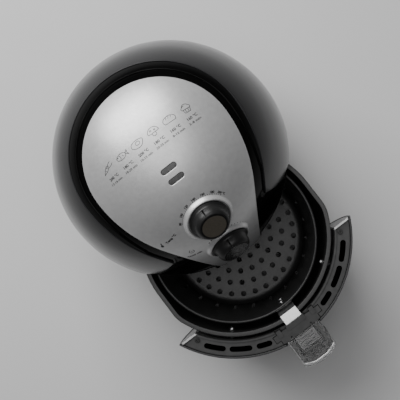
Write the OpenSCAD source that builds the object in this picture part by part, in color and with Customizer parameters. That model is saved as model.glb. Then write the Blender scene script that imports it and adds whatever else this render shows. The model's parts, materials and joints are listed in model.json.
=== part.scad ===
// Hot-air deep fryer with a pull-out pan, a lift-out basket and two dials.
// Millimetres, +Z up. The front faces -Y. The origin is the middle of the
// bounding box's footprint, on the table, with the drawer pulled out.

/* [Body] */
// Widest radius of the body
body_r = 141; // [127:0.5:151]
// Height from the table to the top of the lid
body_h = 320; // [285:1:350]
// Height of the lid above the opening for the drawer
lid_h = 153; // [152:0.1:153.5]
// How much smaller the radius of the round cap is than the widest radius
dome_inset = 10.5; // [8:0.5:13]
// Radius of the upper side curve
side_r = 250; // [225:1:320]
// Radius of the lower side curve
lower_r = 305; // [290:1:340]
// Wall of the moulded outer shell
shell_t = 2.6; // [2:0.1:3.2]
// Height of the rubber feet
foot_h = 7; // [5:0.5:9]
// Radius of a rubber foot
foot_r = 10; // [7:0.5:13]
// Distance of each foot from the body's axis
foot_pitch = 88; // [75:1:92]

/* [Lid] */
// Half width of the silver control panel
panel_r = 82.6; // [78:0.2:84]
// Radius of the panel's long side curves
panel_side_r = 150; // [135:1:165]
// Taper of the panel's straight edges from the centre line
panel_taper = 31.8; // [30:0.2:33]
// Height of the panel above the surface of the body
panel_proud = 0.6; // [0.2:0.1:1]
// Thickness of the panel
panel_t = 2.5; // [2:0.1:3]
// Width of the dark channel round the panel, where air is drawn in
channel_w = 7.4; // [6:0.2:8]
// Depth of the channel below the surface of the body
channel_d = 6; // [5:0.5:7]
// Half width of the gloss ring round the channel
ring_r = 97.5; // [96.5:0.1:98.5]

/* [Dials] */
// Tilt of the temperature dial from straight up
temp_tilt = 43; // [40:0.5:45]
// Tilt of the timer dial from straight up
timer_tilt = 67; // [66.5:0.5:69.5]
// Radius of a dial at its base
knob_r = 22.4; // [20:0.2:22.6]
// Radius of a dial at its face
knob_face_r = 16.8; // [15:0.2:18]
// Height of a dial
knob_h = 14.5; // [12:0.5:20]
// Radius of the dial spindles
spindle_r = 3; // [2.5:0.1:3.5]

/* [Drawer] */
// How far the drawer stands out from shut
drawer_out = 120; // [90:1:130]
// Room between the widest radius of the body and the pan's rim
pan_room = 30; // [28:0.5:33]
// How much larger the radius across the front of the pan is than its half width
pan_flat = 6; // [5:0.5:9]
// How much further the pan reaches in front than to the sides
pan_nose = 4; // [2:0.5:5]
// Radius of the pan's front corners
pan_corner_r = 40; // [32:1:48]
// Width of the flat rim of the pan
pan_rim_w = 4.2; // [4:0.2:7]
// Sheet thickness of the pan
pan_t = 1.2; // [0.8:0.1:1.6]
// How much narrower the pan is at its floor, each side
pan_taper = 8; // [5:0.5:11]
// How far the pan's rim lies below the top of the opening
pan_drop = 9; // [8:0.5:12]
// Room between the edges of the pan's and the basket's rims
basket_room = 11.5; // [11:0.5:16]
// Sheet thickness of the basket
basket_t = 1.2; // [0.8:0.1:1.6]
// How much narrower the basket is at its floor
basket_taper = 8; // [5:0.5:10]
// Height of the basket's floor above the pan's
basket_stand = 22.9; // [19:0.1:34]
// Bottom of the opening for the drawer
sill_z = 20; // [19:0.5:21]
// Distance from the body's axis to the back edge of the drawer front
front_cut = 60; // [55:1:66]

/* [Handle] */
// Width of the handle
handle_w = 42; // [40:0.2:48]
// How far the handle stands out from the side of the body
handle_out = 33; // [30:0.5:40]
// Length of the handle from top to bottom
handle_l = 100; // [82:1:112]
// Travel of the clear guard over the button
guard_travel = 20; // [15:1:24]
// Travel of the release button
button_travel = 3.5; // [2.5:0.5:4]

/* [Hidden] */
gap = 0.3;            // assembly clearance between fixed pieces
run = 0.05;           // radial clearance of a shaft in its bearing
part_gap = 1;         // visible gap between the drawer front and the body
far = 400;            // larger than the part
curve_step = 3.5;     // degrees between the points of a curved outline

dome_r = body_r - dome_inset;
opening_z = body_h - lid_h;
pan_r = body_r - pan_room;
pan_front_r = pan_r + pan_flat;
pan_z = opening_z - pan_drop;
basket_r = pan_r - basket_room;
handle_reach = body_r + handle_out;
z_dome = body_h - dome_r;
z_wide = z_dome - sqrt(pow(side_r - dome_r, 2) - pow(side_r - body_r, 2));
join_angle = atan2(z_dome - z_wide, side_r - body_r);
guard_side = 1.4;     // how far the guard overhangs the handle
grip_end = drawer_out + handle_reach + guard_side + gap;
axis_y = (grip_end - body_r) / 2;    // body axis behind the origin

// ---------- curves that the whole body shares ----------

// Points of an arc in the r-z plane, end points included
function arc(cx, cz, r, from, to, step = curve_step) =
    let (n = max(2, ceil(abs(to - from) / step)))
    [for (i = [0:n]) let (a = from + (to - from) * i / n) [cx + r * cos(a), cz + r * sin(a)]];

// Half outline of the body, moved in by inset and standing on z0
function body_half(inset, z0) = concat(
    [[0, z0]],
    arc(body_r - lower_r, z_wide, lower_r - inset, -asin((z_wide - z0) / (lower_r - inset)), 0),
    [for (p = arc(body_r - side_r, z_wide, side_r - inset, 0, join_angle)) if (p[1] > z_wide + 1) p],
    [for (p = arc(0, z_dome, dome_r - inset, join_angle, 90)) if (p[0] < body_r * 0.86) p]);

// Radius of the body's surface at height z, below the cap
function body_radius(z) = z < z_wide
    ? body_r - lower_r + sqrt(pow(lower_r, 2) - pow(z_wide - z, 2))
    : body_r - side_r + sqrt(pow(side_r, 2) - pow(z - z_wide, 2));

module body_solid(inset = 0, z0 = foot_h) {
    rotate_extrude($fn = 120) polygon(body_half(inset, z0));
}

// A skin of the body between two insets
module body_skin(outer, inner, z0 = foot_h) {
    difference() {
        body_solid(outer, z0);
        body_solid(inner, z0 - 1);
    }
}

// Egg outline seen from above: a round back, long side curves and straight edges to the front
module egg(cy, r, side, taper) {
    back = [for (p = arc(0, cy, r, 0, 180, 6)) p];
    left = arc(side - r, cy, side, 180, 180 + taper, 5);
    end = left[len(left) - 1];
    reach = 170 + end[1];
    tip = [end[0] + reach * tan(taper), -170];
    half = concat([for (i = [1:len(left) - 1]) left[i]], [tip]);
    polygon(concat(back, half, [for (i = [len(half) - 1:-1:0]) [-half[i][0], half[i][1]]]));
}

panel_cy = -8;
module panel_outline(grow = 0) egg(panel_cy, panel_r + grow, panel_side_r + grow, panel_taper);
ring_cy = panel_cy + 6;
ring_side_r = 160;
module ring_outline(grow = 0) egg(ring_cy, ring_r + grow, ring_side_r + grow, panel_taper);
channel_side_r = 200;
module channel_outline() egg(panel_cy + 3, panel_r + channel_w, channel_side_r, 30);

module prism(z0 = 0, z1 = far) translate([0, 0, z0]) linear_extrude(z1 - z0) children();

// The dark wedge either side of the panel's tip, seen from the front
wedge_z = opening_z + 73;
wedge_top = 63;
wedge_low = pan_r;
module front_wedge() {
    rotate([90, 0, 0]) linear_extrude(far)
        polygon([[-wedge_low, opening_z], [wedge_low, opening_z], [wedge_top, wedge_z], [-wedge_top, wedge_z]]);
}

// The block of space that the drawer front fills
module drawer_window(grow = 0) {
    translate([-far / 2, -far - front_cut + grow, sill_z - grow])
        cube([far, far, opening_z - sill_z + 2 * grow]);
}

// Places children on the dome, +Z out of the surface, at a tilt towards the front
module on_dome(tilt) translate([0, 0, z_dome]) rotate([tilt, 0, 0]) translate([0, 0, dome_r]) children();

// A round wire or tube along points, sides corners round it
function unit(v) = v / norm(v);
function tangents(p) = [for (i = [0:len(p) - 1]) unit(p[min(i + 1, len(p) - 1)] - p[max(i - 1, 0)])];
function side_of(t) = unit(cross(t, abs(t[2]) < 0.9 ? [0, 0, 1] : [1, 0, 0]));
module tube(path, r, sides = 8) {
    t = tangents(path);
    pts = [for (i = [0:len(path) - 1], s = [0:sides - 1])
        let (u = side_of(t[i]), v = cross(t[i], u), a = 360 * s / sides)
        path[i] + r * (cos(a) * u + sin(a) * v)];
    last = len(path) - 1;
    rings = [for (i = [0:last - 1], s = [0:sides - 1])
        [i * sides + s, (i + 1) * sides + s, (i + 1) * sides + (s + 1) % sides, i * sides + (s + 1) % sides]];
    ends = [[for (s = [0:sides - 1]) s], [for (s = [sides - 1:-1:0]) last * sides + s]];
    polyhedron(pts, concat(rings, ends));
}

// A screw, head up along +Z, with its head's underside at the origin
module screw(head_r = 3.6, head_h = 2, shank_r = 1.6, length = 8) {
    difference() {
        cylinder(h = head_h, r = head_r, $fn = 32);
        translate([0, 0, head_h - 0.9]) cube([0.9, head_r * 1.3, 2], center = true);
        translate([0, 0, head_h - 0.9]) cube([head_r * 1.3, 0.9, 2], center = true);
    }
    translate([0, 0, -length]) cylinder(h = length, r = shank_r, $fn = 32);
}

// ---------- outer casing ----------

grille_w = 70;
grille_z0 = opening_z + 4;
grille_z1 = grille_z0 + 33;
gland_z = max(sill_z + 22, z_wide - 98.52);    // above the base and clear of the bay
gland_r = 7.5;

module grille_window(grow = 0) {
    translate([-grille_w / 2 - grow, 0, grille_z0 - grow])
        cube([grille_w + 2 * grow, far, grille_z1 - grille_z0 + 2 * grow]);
}

module body_shell() color([0.05, 0.05, 0.055]) difference() {
    body_skin(0, shell_t);
    prism() ring_outline();
    front_wedge();
    drawer_window();
    grille_window();
    gland_place() translate([0, 0, -20]) cylinder(h = 40, r = gland_r + gap, $fn = 48);
}

bezel_drop = 0.8;
bezel_low = 1.2;
module lid_bezel() color([0.01, 0.01, 0.012]) difference() {
    intersection() {
        body_solid(bezel_drop);
        prism(opening_z) union() {
            ring_outline(-gap);
            wedge_plan();
        }
        union() {
            prism() ring_outline(-gap);
            wedge_inside();
        }
    }
    body_solid(channel_d + shell_t, foot_h - 1);
    // the channel and the recessed front
    difference() {
        union() {
            prism() channel_outline();
            prism() wedge_plan();
        }
        body_solid(channel_d, foot_h - 2);
    }
    prism() panel_outline(-channel_w);
}
// The part of the plan that lies in front of the ring
wedge_y = 92;
module wedge_plan() {
    translate([-wedge_low - 5, -far]) square([2 * wedge_low + 10, far - wedge_y]);
}
module wedge_inside() {
    rotate([90, 0, 0]) linear_extrude(far)
        polygon([[-wedge_low + gap, opening_z], [wedge_low - gap, opening_z],
            [wedge_top - gap, wedge_z - gap], [-wedge_top + gap, wedge_z - gap]]);
}

panel_tip_z = opening_z + bezel_low;
collar_r = knob_r + 4.2;
collar_h = 2.6;
panel_skirt = 2;
lamp_w = 17.6;
lamp_h = 5.2;
power_lamp_tilt = 11.4;
heating_lamp_tilt = 17;
module collar() {
    rotate_extrude($fn = 96) polygon([[knob_r + 0.6, -5], [knob_r + 0.6, collar_h], [knob_r + 1.6, collar_h],
        [collar_r, 0], [collar_r, -5]]);
}
module lamp_slot(grow = 0, h = 10) {
    translate([0, 0, -h / 2]) linear_extrude(h) {
        square([lamp_w - lamp_h, lamp_h + 2 * grow], center = true);
        for (s = [-1, 1]) translate([s * (lamp_w - lamp_h) / 2, 0]) circle(r = lamp_h / 2 + grow, $fn = 40);
    }
}
module control_panel() color([0.72, 0.72, 0.74]) difference() {
    union() {
        intersection() {
            body_skin(-panel_proud, panel_t - panel_proud);
            prism(panel_tip_z) panel_outline();
        }
        // skirt that stands on the channel's floor
        intersection() {
            body_skin(0, channel_d);
            difference() {
                prism(panel_tip_z) panel_outline();
                prism() panel_outline(-panel_skirt);
            }
        }
        for (tilt = [temp_tilt, timer_tilt]) on_dome(tilt) intersection() {
            collar();
            translate([0, 0, -far / 2 - 1]) cylinder(h = far, r = collar_r, $fn = 96);
        }
    }
    body_inside_collars();
    for (tilt = [temp_tilt, timer_tilt]) on_dome(tilt)
        translate([0, 0, -10]) cylinder(h = 20, r = spindle_r + 1.2, $fn = 48);
    on_dome(power_lamp_tilt) lamp_slot(gap);
    on_dome(heating_lamp_tilt) lamp_slot(gap);
}
// Trims the collars off inside the panel
module body_inside_collars() {
    intersection() {
        body_solid(panel_t - panel_proud);
        for (tilt = [temp_tilt, timer_tilt]) on_dome(tilt)
            translate([0, 0, -8]) cylinder(h = 8, r = collar_r + 1, $fn = 64);
    }
}

module lamp(tilt) on_dome(tilt) intersection() {
    lamp_slot(0, 8);
    translate([0, 0, -dome_r]) sphere(r = dome_r + panel_proud - 0.3, $fn = 120);
}
module power_lamp() color([0.45, 0.45, 0.45, 0.8]) lamp(power_lamp_tilt);
module heating_lamp() color([0.45, 0.45, 0.45, 0.8]) lamp(heating_lamp_tilt);
module lamp_board() color([0.1, 0.3, 0.15]) on_dome((power_lamp_tilt + heating_lamp_tilt) / 2) {
    translate([-13, -14, -6.2]) cube([26, 28, 1.6]);
    for (x = [-11, 11]) translate([x, 0, -4.6]) cylinder(h = 1.4, r = 1.6, $fn = 24);
}

base_t = 3;
base_z = foot_h + 0.5;
post_r = 6;
floor_t = 2;
foot_angles = [40, 140, 220, 320];
function foot_at(a, r = foot_pitch) = [r * cos(a), r * sin(a), 0];
post_pitch = 70;
module base_plate() color([0.06, 0.06, 0.06]) difference() {
    union() {
        translate([0, 0, base_z]) cylinder(h = base_t, r = body_radius(base_z) - shell_t - gap, $fn = 120);
        for (a = foot_angles) translate(foot_at(a, post_pitch)) translate([0, 0, base_z])
            cylinder(h = sill_z - floor_t - gap - base_z, r = post_r, $fn = 48);
    }
    for (a = foot_angles) {
        translate(foot_at(a)) cylinder(h = 30, r = foot_r * 0.4 + gap, $fn = 40);
        translate(foot_at(a, post_pitch)) {
            translate([0, 0, 4]) cylinder(h = 30, r = 1.8, $fn = 32);
            translate([0, 0, base_z - 1]) cylinder(h = 3.2, r = 4, $fn = 32);
        }
    }
    // air slots in the middle of the base
    for (i = [-3:3]) translate([i * 9 - 2, -20, 0]) cube([4, 40, 30]);
}
module rubber_feet() color([0.03, 0.03, 0.03]) for (a = foot_angles) translate(foot_at(a)) {
    cylinder(h = base_z, r1 = foot_r - 1.2, r2 = foot_r, $fn = 48);
    translate([0, 0, base_z]) cylinder(h = base_t + 2, r = foot_r * 0.4, $fn = 32);
}
module base_screws() color([0.6, 0.6, 0.62]) for (a = foot_angles)
    translate(foot_at(a, post_pitch)) translate([0, 0, base_z + 2.2]) rotate([180, 0, 0]) screw(length = 6);

// ---------- drawer bay ----------

bay_gap = 1.8;
liner_t = 1.2;
liner_top = opening_z - 1.3;
plunger_z = pan_z - 3.5;
plunger_r = 2;
module u_outline(r) {
    circle(r = r, $fn = 160);
    translate([-r, -front_cut + 1]) square([2 * r, front_cut - 1]);
}
module bay_liner() color([0.35, 0.36, 0.37]) difference() {
    intersection() {
        prism(sill_z + gap, liner_top) u_outline(pan_r + bay_gap + liner_t);
        body_solid(shell_t + gap);
    }
    prism(sill_z - 1, far) u_outline(pan_r + bay_gap);
    translate([-far / 2, -far - front_cut + 2, 0]) cube([far, far, far]);
    translate([0, pan_r - 4, plunger_z]) rotate([-90, 0, 0]) cylinder(h = 20, r = plunger_r + 0.3, $fn = 32);
}
floor_r = min(pan_r + 1.6, body_radius(sill_z - floor_t - gap) - shell_t - gap);
module bay_floor() color([0.35, 0.36, 0.37]) difference() {
    translate([0, 0, sill_z - floor_t - gap]) cylinder(h = floor_t, r = floor_r, $fn = 160);
    for (a = foot_angles) translate(foot_at(a, post_pitch)) cylinder(h = 60, r = 1.8, $fn = 32);
}
rail_w = 8;
rail_front = 78;
rail_l = 162;
rail_x = 52;
rail_h = 2;
module slide_rails() color([0.12, 0.12, 0.12]) for (s = [-1, 1])
    translate([s * rail_x - rail_w / 2, -rail_front, sill_z - gap]) cube([rail_w, rail_l, rail_h]);

// ---------- hot chamber ----------

chamber_r = 94;
chamber_t = 1.2;
chamber_top = opening_z + 39;
flange_r = body_radius(opening_z) - channel_d - shell_t - 1;
coil_z = opening_z + 9;
coil_tube = 3.2;
coil_out = 86;
coil_in = 72;
coil_open = 8;
function lead_at(r) = [r * cos(coil_open + 7), r * sin(coil_open + 7), 0];
module heat_chamber() color([0.62, 0.63, 0.65]) difference() {
    union() {
        translate([0, 0, liner_top]) cylinder(h = chamber_t, r = flange_r, $fn = 160);
        translate([0, 0, liner_top]) cylinder(h = chamber_top + chamber_t - liner_top, r = chamber_r + chamber_t, $fn = 160);
    }
    translate([0, 0, liner_top - 1]) cylinder(h = chamber_top - liner_top + 1, r = chamber_r, $fn = 160);
    cylinder(h = far, r = 6, $fn = 48);
    translate([-28, 60, coil_z]) cube([56, 60, 22]);
    for (r = [coil_in, coil_out]) translate(lead_at(r)) cylinder(h = far, r = coil_tube + 0.8, $fn = 32);
}
insul_t = 3.8;
insul_z = chamber_top + chamber_t;
module chamber_insulation() color([0.85, 0.84, 0.8]) difference() {
    translate([0, 0, insul_z]) cylinder(h = insul_t, r = 62, $fn = 96);
    cylinder(h = far, r = 8, $fn = 48);
    for (p = stator_posts) translate([p[0] * 1.6, p[1] * 1.6, 0]) cylinder(h = far, r = 2.2, $fn = 24);
}
module heating_element() color([0.5, 0.49, 0.47]) translate([0, 0, coil_z]) {
    for (r = [coil_in, coil_out]) rotate([0, 0, coil_open + 4])
        rotate_extrude(angle = 360 - 2 * coil_open - 8, $fn = 120) translate([r, 0]) circle(r = coil_tube, $fn = 24);
    rotate([0, 0, 356 - coil_open]) translate([(coil_in + coil_out) / 2, 0, 0])
        rotate_extrude(angle = 180, $fn = 60) translate([(coil_out - coil_in) / 2, 0]) circle(r = coil_tube, $fn = 24);
    for (r = [coil_in, coil_out]) translate(lead_at(r)) translate([0, 0, 0.4]) cylinder(h = insul_z + 12 - coil_z, r = coil_tube * 0.8, $fn = 24);
}
module element_clips() color([0.7, 0.7, 0.72]) for (a = [60, 180, 300]) rotate([0, 0, a]) {
    mid = (coil_in + coil_out) / 2;
    foot_z = coil_z - coil_tube - 1.4;
    translate([mid - 2.5, -4, foot_z]) cube([5, 8, chamber_top - foot_z]);
    translate([coil_in - 3, -4, foot_z]) cube([coil_out - coil_in + 6, 8, 1.2]);
}
guard_z = opening_z + 1.6;
wire_r = 1.1;
module element_guard() color([0.75, 0.75, 0.77]) translate([0, 0, guard_z]) {
    for (r = [12, 32, 52, 72, chamber_r - 2 * wire_r - 0.2]) difference() {
        cylinder(h = 2 * wire_r, r = r + 2 * wire_r, $fn = 96);
        translate([0, 0, -1]) cylinder(h = 4 * wire_r, r = r, $fn = 96);
    }
    for (a = [0:45:315]) rotate([0, 0, a]) translate([13, -wire_r, -wire_r]) cube([chamber_r - 2 * wire_r - 13.2 + wire_r, 2 * wire_r, 1.5 * wire_r]);
}

// ---------- motor and fans ----------

shaft_r = 3;
motor_z = insul_z + insul_t;
stator_z = motor_z + 11;
stator_h = 20;
rotor_r = 16;
bore_gap = 0.4;
bridge_z = stator_z + stator_h + 4;
cool_z = bridge_z + 8;
fan_z = coil_z + 6;
module ring(h, r, hole, fn = 48) difference() {
    cylinder(h = h, r = r, $fn = fn);
    translate([0, 0, -1]) cylinder(h = h + 2, r = hole, $fn = fn);
}
stator_posts = [[-22, -20], [-22, 20], [16, -20], [16, 20]];
module motor_plate() color([0.6, 0.6, 0.6]) {
    translate([0, 0, motor_z]) difference() {
        cylinder(h = 1.5, r = 48, $fn = 96);
        translate([0, 0, -1]) cylinder(h = 4, r = shaft_r + 2, $fn = 48);
        for (p = stator_posts) translate([p[0] * 1.6, p[1] * 1.6, -1]) cylinder(h = 4, r = 1.9, $fn = 24);
    }
    for (p = stator_posts) translate([p[0], p[1], motor_z + 1.5]) cylinder(h = stator_z - motor_z - 1.5, r = 3, $fn = 32);
}
module motor_screws() color([0.7, 0.7, 0.72]) for (p = stator_posts)
    translate([p[0] * 1.6, p[1] * 1.6, motor_z + 1.5]) screw(head_r = 3.2, length = 4);
module shaft_bearings() color([0.72, 0.6, 0.35]) {
    translate([0, 0, motor_z + 1.5]) ring(6, 8, shaft_r + run);
    translate([0, 0, bridge_z - 3.5]) ring(3.5, 7, shaft_r + run);
}
winding_x = 40;
leg_w = 8;
module motor_stator() color([0.45, 0.46, 0.48]) translate([0, 0, stator_z]) linear_extrude(stator_h) difference() {
    translate([-28, -26]) square([winding_x + leg_w / 2 + 28, 52]);
    circle(r = rotor_r + bore_gap, $fn = 96);
    translate([22, -17]) square([winding_x - leg_w / 2 - 22, 34]);
}
module motor_winding() color([0.7, 0.35, 0.12]) difference() {
    translate([winding_x - 10, -14, stator_z - 5]) cube([20, 28, stator_h + 10]);
    translate([winding_x - leg_w / 2 - gap, -20, stator_z - gap]) cube([leg_w + 2 * gap, 40, stator_h + 2 * gap]);
}
module motor_bridge() color([0.6, 0.6, 0.6]) {
    for (s = [-1, 1]) translate([0, s * 21, stator_z + stator_h])
        cylinder(h = bridge_z - stator_z - stator_h, r = 3, $fn = 32);
    difference() {
        translate([-8, -25, bridge_z]) cube([16, 50, 1.5]);
        cylinder(h = far, r = shaft_r + 1, $fn = 48);
    }
}
nut_h = 4;
module fan_shaft() color([0.7, 0.7, 0.72])
    translate([0, 0, fan_z - nut_h - 1]) cylinder(h = cool_z + 10 - fan_z + nut_h + 1, r = shaft_r, $fn = 48);
module motor_rotor() color([0.5, 0.5, 0.52]) translate([0, 0, stator_z]) ring(stator_h, rotor_r, shaft_r, 96);
blade_r = 58;
module hot_air_fan() color([0.68, 0.69, 0.7]) translate([0, 0, fan_z]) {
    ring(16, 9, shaft_r);
    translate([0, 0, 14.8]) ring(1.2, blade_r, 8.5, 120);
    for (a = [0:36:324]) rotate([0, 0, a]) translate([8.6, -0.5, 0]) cube([blade_r - 9, 1, 15]);
}
module fan_nut() color([0.75, 0.75, 0.77]) translate([0, 0, fan_z - nut_h]) difference() {
    cylinder(h = nut_h, r = 6, $fn = 6);
    translate([0, 0, -1]) cylinder(h = nut_h + 2, r = shaft_r, $fn = 32);
}
module cooling_fan() color([0.15, 0.15, 0.16]) translate([0, 0, cool_z]) {
    ring(10, 8, shaft_r);
    for (a = [0:45:315]) rotate([0, 0, a]) translate([7.6, 0, 5]) rotate([35, 0, 0])
        translate([0, -5.5, -0.6]) cube([34, 11, 1.2]);
}

// ---------- ducts and electrics ----------

duct_wall = 1.4;
module exhaust_duct() color([0.62, 0.63, 0.65]) difference() {
    translate([-34, 60, grille_z0 + 1]) cube([68, 70, grille_z1 - grille_z0 - 2]);
    translate([-34 + duct_wall, 50, grille_z0 + 1 + duct_wall])
        cube([68 - 2 * duct_wall, 100, grille_z1 - grille_z0 - 2 - 2 * duct_wall]);
    cylinder(h = far, r = chamber_r + chamber_t + gap, $fn = 160);
    translate([0, 0, -far / 2]) difference() {
        cylinder(h = 2 * far, r = far, $fn = 48);
        translate([0, 0, far / 2]) body_solid(shell_t + 1.2);
    }
}
louvre = 4.6;
module rear_grille() color([0.03, 0.03, 0.03]) difference() {
    intersection() {
        body_skin(0.2, shell_t + 1);
        grille_window(-gap);
    }
    for (z = [grille_z0 + 3:louvre:grille_z1 - 5], x = [-1, 1])
        translate([x > 0 ? 1.5 : -grille_w / 2 + 4, 60, z]) cube([grille_w / 2 - 5.5, 100, 2.4]);
}
module gland_place() translate([0, body_radius(gland_z), gland_z])
    rotate([-90 - asin((z_wide - gland_z) / lower_r), 0, 0]) children();
module cord_gland() color([0.04, 0.04, 0.04]) gland_place() difference() {
    union() {
        translate([0, 0, -shell_t - 4.4]) cylinder(h = shell_t + 7.3, r = gland_r, $fn = 48);
        translate([0, 0, 0.3]) cylinder(h = 2.6, r = gland_r + 2.5, $fn = 48);
        translate([0, 0, -shell_t - 3]) cylinder(h = 2, r = gland_r + 2.5, $fn = 48);
    }
    translate([0, 0, -20]) cylinder(h = 40, r = 3.6, $fn = 48);
}
flange_top = liner_top + chamber_t;
module terminal_block() color([0.85, 0.83, 0.76]) rotate([0, 0, 140]) translate([99, -14, flange_top]) difference() {
    cube([14, 28, 12]);
    for (i = [0:2]) translate([3, 3 + 9 * i, 6]) cube([8, 4, 7]);
}
module thermal_cutout() color([0.8, 0.8, 0.78]) rotate([0, 0, 205]) translate([68, -9, insul_z]) {
    cube([14, 18, 1.5]);
    translate([7, 9, 1.5]) cylinder(h = 6, r = 6, $fn = 40);
}
neck_top = panel_t - panel_proud + 0.15;
module thermostat() color([0.8, 0.79, 0.74]) on_dome(temp_tilt) difference() {
    union() {
        translate([-15, -13, -23]) cube([30, 26, 18]);
        translate([0, 0, -5.5]) cylinder(h = 5.5 - neck_top, r = 8, $fn = 48);
    }
    translate([0, 0, -30]) cylinder(h = 40, r = spindle_r + run, $fn = 48);
}
module timer() color([0.8, 0.79, 0.74]) on_dome(timer_tilt) difference() {
    union() {
        translate([-18, -17, -28]) cube([36, 34, 22]);
        translate([0, 0, -6.5]) cylinder(h = 6.5 - neck_top, r = 8, $fn = 48);
    }
    translate([0, 0, -40]) cylinder(h = 50, r = spindle_r + run, $fn = 48);
}
module timer_bell() color([0.75, 0.75, 0.77]) on_dome(timer_tilt) translate([0, 4, -28.1]) rotate([180, 0, 0])
    translate([0, 0, 0.2]) difference() {
        union() {
            cylinder(h = 6, r1 = 13, r2 = 10, $fn = 48);
        }
        translate([0, 0, -1]) cylinder(h = 5.8, r1 = 12, r2 = 9, $fn = 48);
    }
module thermostat_bulb() color([0.75, 0.5, 0.3]) {
    start = [19, -75, z_dome + 78.5];
    bulb = [58, -40, insul_z + 3];
    tube([for (i = [0:16]) let (f = i / 16) start * (1 - f) + bulb * f + [18 * sin(180 * f), 6 * sin(360 * f), 8 * sin(180 * f)]], 1.1, 6);
    translate(bulb + [0, 0, -3]) cylinder(h = 3.2, r = 3, $fn = 24);
}

switch_y = pan_r + bay_gap + liner_t + 0.1;
module drawer_switch() color([0.1, 0.1, 0.1]) difference() {
    translate([-10, switch_y, plunger_z - 7]) cube([20, 11, 14]);
    translate([0, switch_y - 1, plunger_z]) rotate([-90, 0, 0]) cylinder(h = 8, r = plunger_r + 0.1, $fn = 32);
}
plunger_tip = pan_r + gap;
plunger_travel = 1.2;
module switch_plunger() color([0.8, 0.1, 0.1]) translate([0, plunger_tip, plunger_z]) rotate([-90, 0, 0])
    cylinder(h = switch_y + 5 - plunger_tip, r = plunger_r, $fn = 32);

// ---------- dials ----------

knob_clear = 0.9;
knob_waist = knob_r - 2.6;    // above the knob's flange
module knob_body() difference() {
    rotate_extrude($fn = 96) polygon([[0, knob_clear], [knob_r, knob_clear], [knob_r, 2], [knob_r - 0.5, 2.6],
        [knob_waist + 0.7, 3.2], [knob_waist, 4.2], [knob_waist - 0.5, knob_h - 6], [knob_waist - 1.1, knob_h - 3.6],
        [knob_waist - 2.1, knob_h - 1.8], [knob_face_r - 0.4, knob_h - 0.5], [knob_face_r - 1.2, knob_h], [0, knob_h]]);
    translate([0, 0, -1]) cylinder(h = knob_h - 4, r = spindle_r, $fn = 48);
    translate([0, 0, knob_h - 1]) cylinder(h = 2, r = knob_face_r - 1.9, $fn = 96);
    // pointer groove up the flank
    translate([-0.9, knob_face_r - 0.6, 5]) cube([1.8, 12, knob_h]);
}
module knob_cap() translate([0, 0, knob_h - 1]) cylinder(h = 1.3, r = knob_face_r - 2.1, $fn = 96);
module temperature_dial() color([0.02, 0.02, 0.02]) on_dome(temp_tilt) knob_body();
module temperature_dial_cap() color([0.2, 0.18, 0.16]) on_dome(temp_tilt) knob_cap();
module timer_dial() color([0.02, 0.02, 0.02]) on_dome(timer_tilt) knob_body();
module timer_dial_cap() color([0.2, 0.18, 0.16]) on_dome(timer_tilt) knob_cap();
module spindle(low) translate([0, 0, low]) cylinder(h = knob_h - 5.2 - low, r = spindle_r, $fn = 48);
module thermostat_spindle() color([0.7, 0.7, 0.72]) on_dome(temp_tilt) spindle(-21);
module timer_spindle() color([0.7, 0.7, 0.72]) on_dome(timer_tilt) spindle(-26);

// ---------- drawer: drawn round the basket's axis, then pulled out ----------

module drawer_place() translate([0, -drawer_out, 0]) children();
front_centre = pan_front_r - pan_r - pan_nose;      // centre of the front curve, behind the basket's axis
corner_x = pan_r - pan_corner_r;
corner_y = front_centre - sqrt(pow(pan_front_r - pan_corner_r, 2) - pow(corner_x, 2));
corner_a = atan2(corner_y - front_centre, corner_x);

// Outline of the pan, grown all round
function pan_right(g) = concat(
    arc(0, front_centre, pan_front_r + g, -90, corner_a, 4),
    [for (p = arc(corner_x, corner_y, pan_corner_r + g, corner_a, 0, 6)) if (p[1] > corner_y - pan_corner_r * 0.4) p]);
function pan_points(g) = let (right = pan_right(g), n = len(right)) concat(
    right,
    arc(0, 0, pan_r + g, 0, 180, 4),
    [for (i = [n - 1:-1:1]) [-right[i][0], right[i][1]]]);
module pan_outline(g = 0) polygon(pan_points(g));

lip_h = 6;
pan_wall_g = -pan_rim_w;                 // the wall's inset from the rim's edge
pan_low_z = sill_z + rail_h + 0.1;
pan_round = 12;
module pan_block(g, z0) hull() {
    translate([0, 0, pan_z - 0.5]) linear_extrude(0.5) pan_outline(pan_wall_g + g);
    translate([0, 0, pan_low_z + pan_round]) linear_extrude(0.5) pan_outline(pan_wall_g - pan_taper + 1 + g);
    translate([0, 0, pan_low_z + pan_round * 0.3 + z0 * 0.5]) linear_extrude(0.5)
        pan_outline(pan_wall_g - pan_taper - pan_round * 0.3 + g);
    translate([0, 0, pan_low_z + z0]) linear_extrude(0.5) pan_outline(pan_wall_g - pan_taper - pan_round + g);
}
module pan() color([0.09, 0.09, 0.09]) drawer_place() {
    difference() {
        pan_block(0, 0);
        translate([0, 0, 0.02]) pan_block(-pan_t, pan_t);
        for (s = [-1, 1]) pan_screw_place(s) translate([0, 0, -20]) cylinder(h = 40, r = 2, $fn = 24);
        translate([0, 0, pan_z - 0.6]) linear_extrude(2) pan_outline(pan_wall_g - pan_t);
    }
    difference() {
        prism(pan_z - lip_h, pan_z) pan_outline();
        prism(pan_z - lip_h - 1, pan_z - pan_t) pan_outline(-pan_t);
        prism(pan_z - lip_h - 1, pan_z + 1) pan_outline(pan_wall_g - 0.02);
    }
    // star of low vanes that turns the air on the pan's floor
    for (a = [0:60:300]) rotate([0, 0, a]) translate([8, -1.5, pan_low_z + 0.9]) cube([62, 3, 6]);
}
pan_screw_angle = 37.5;
pan_screw_z = pan_z - 18;
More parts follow.
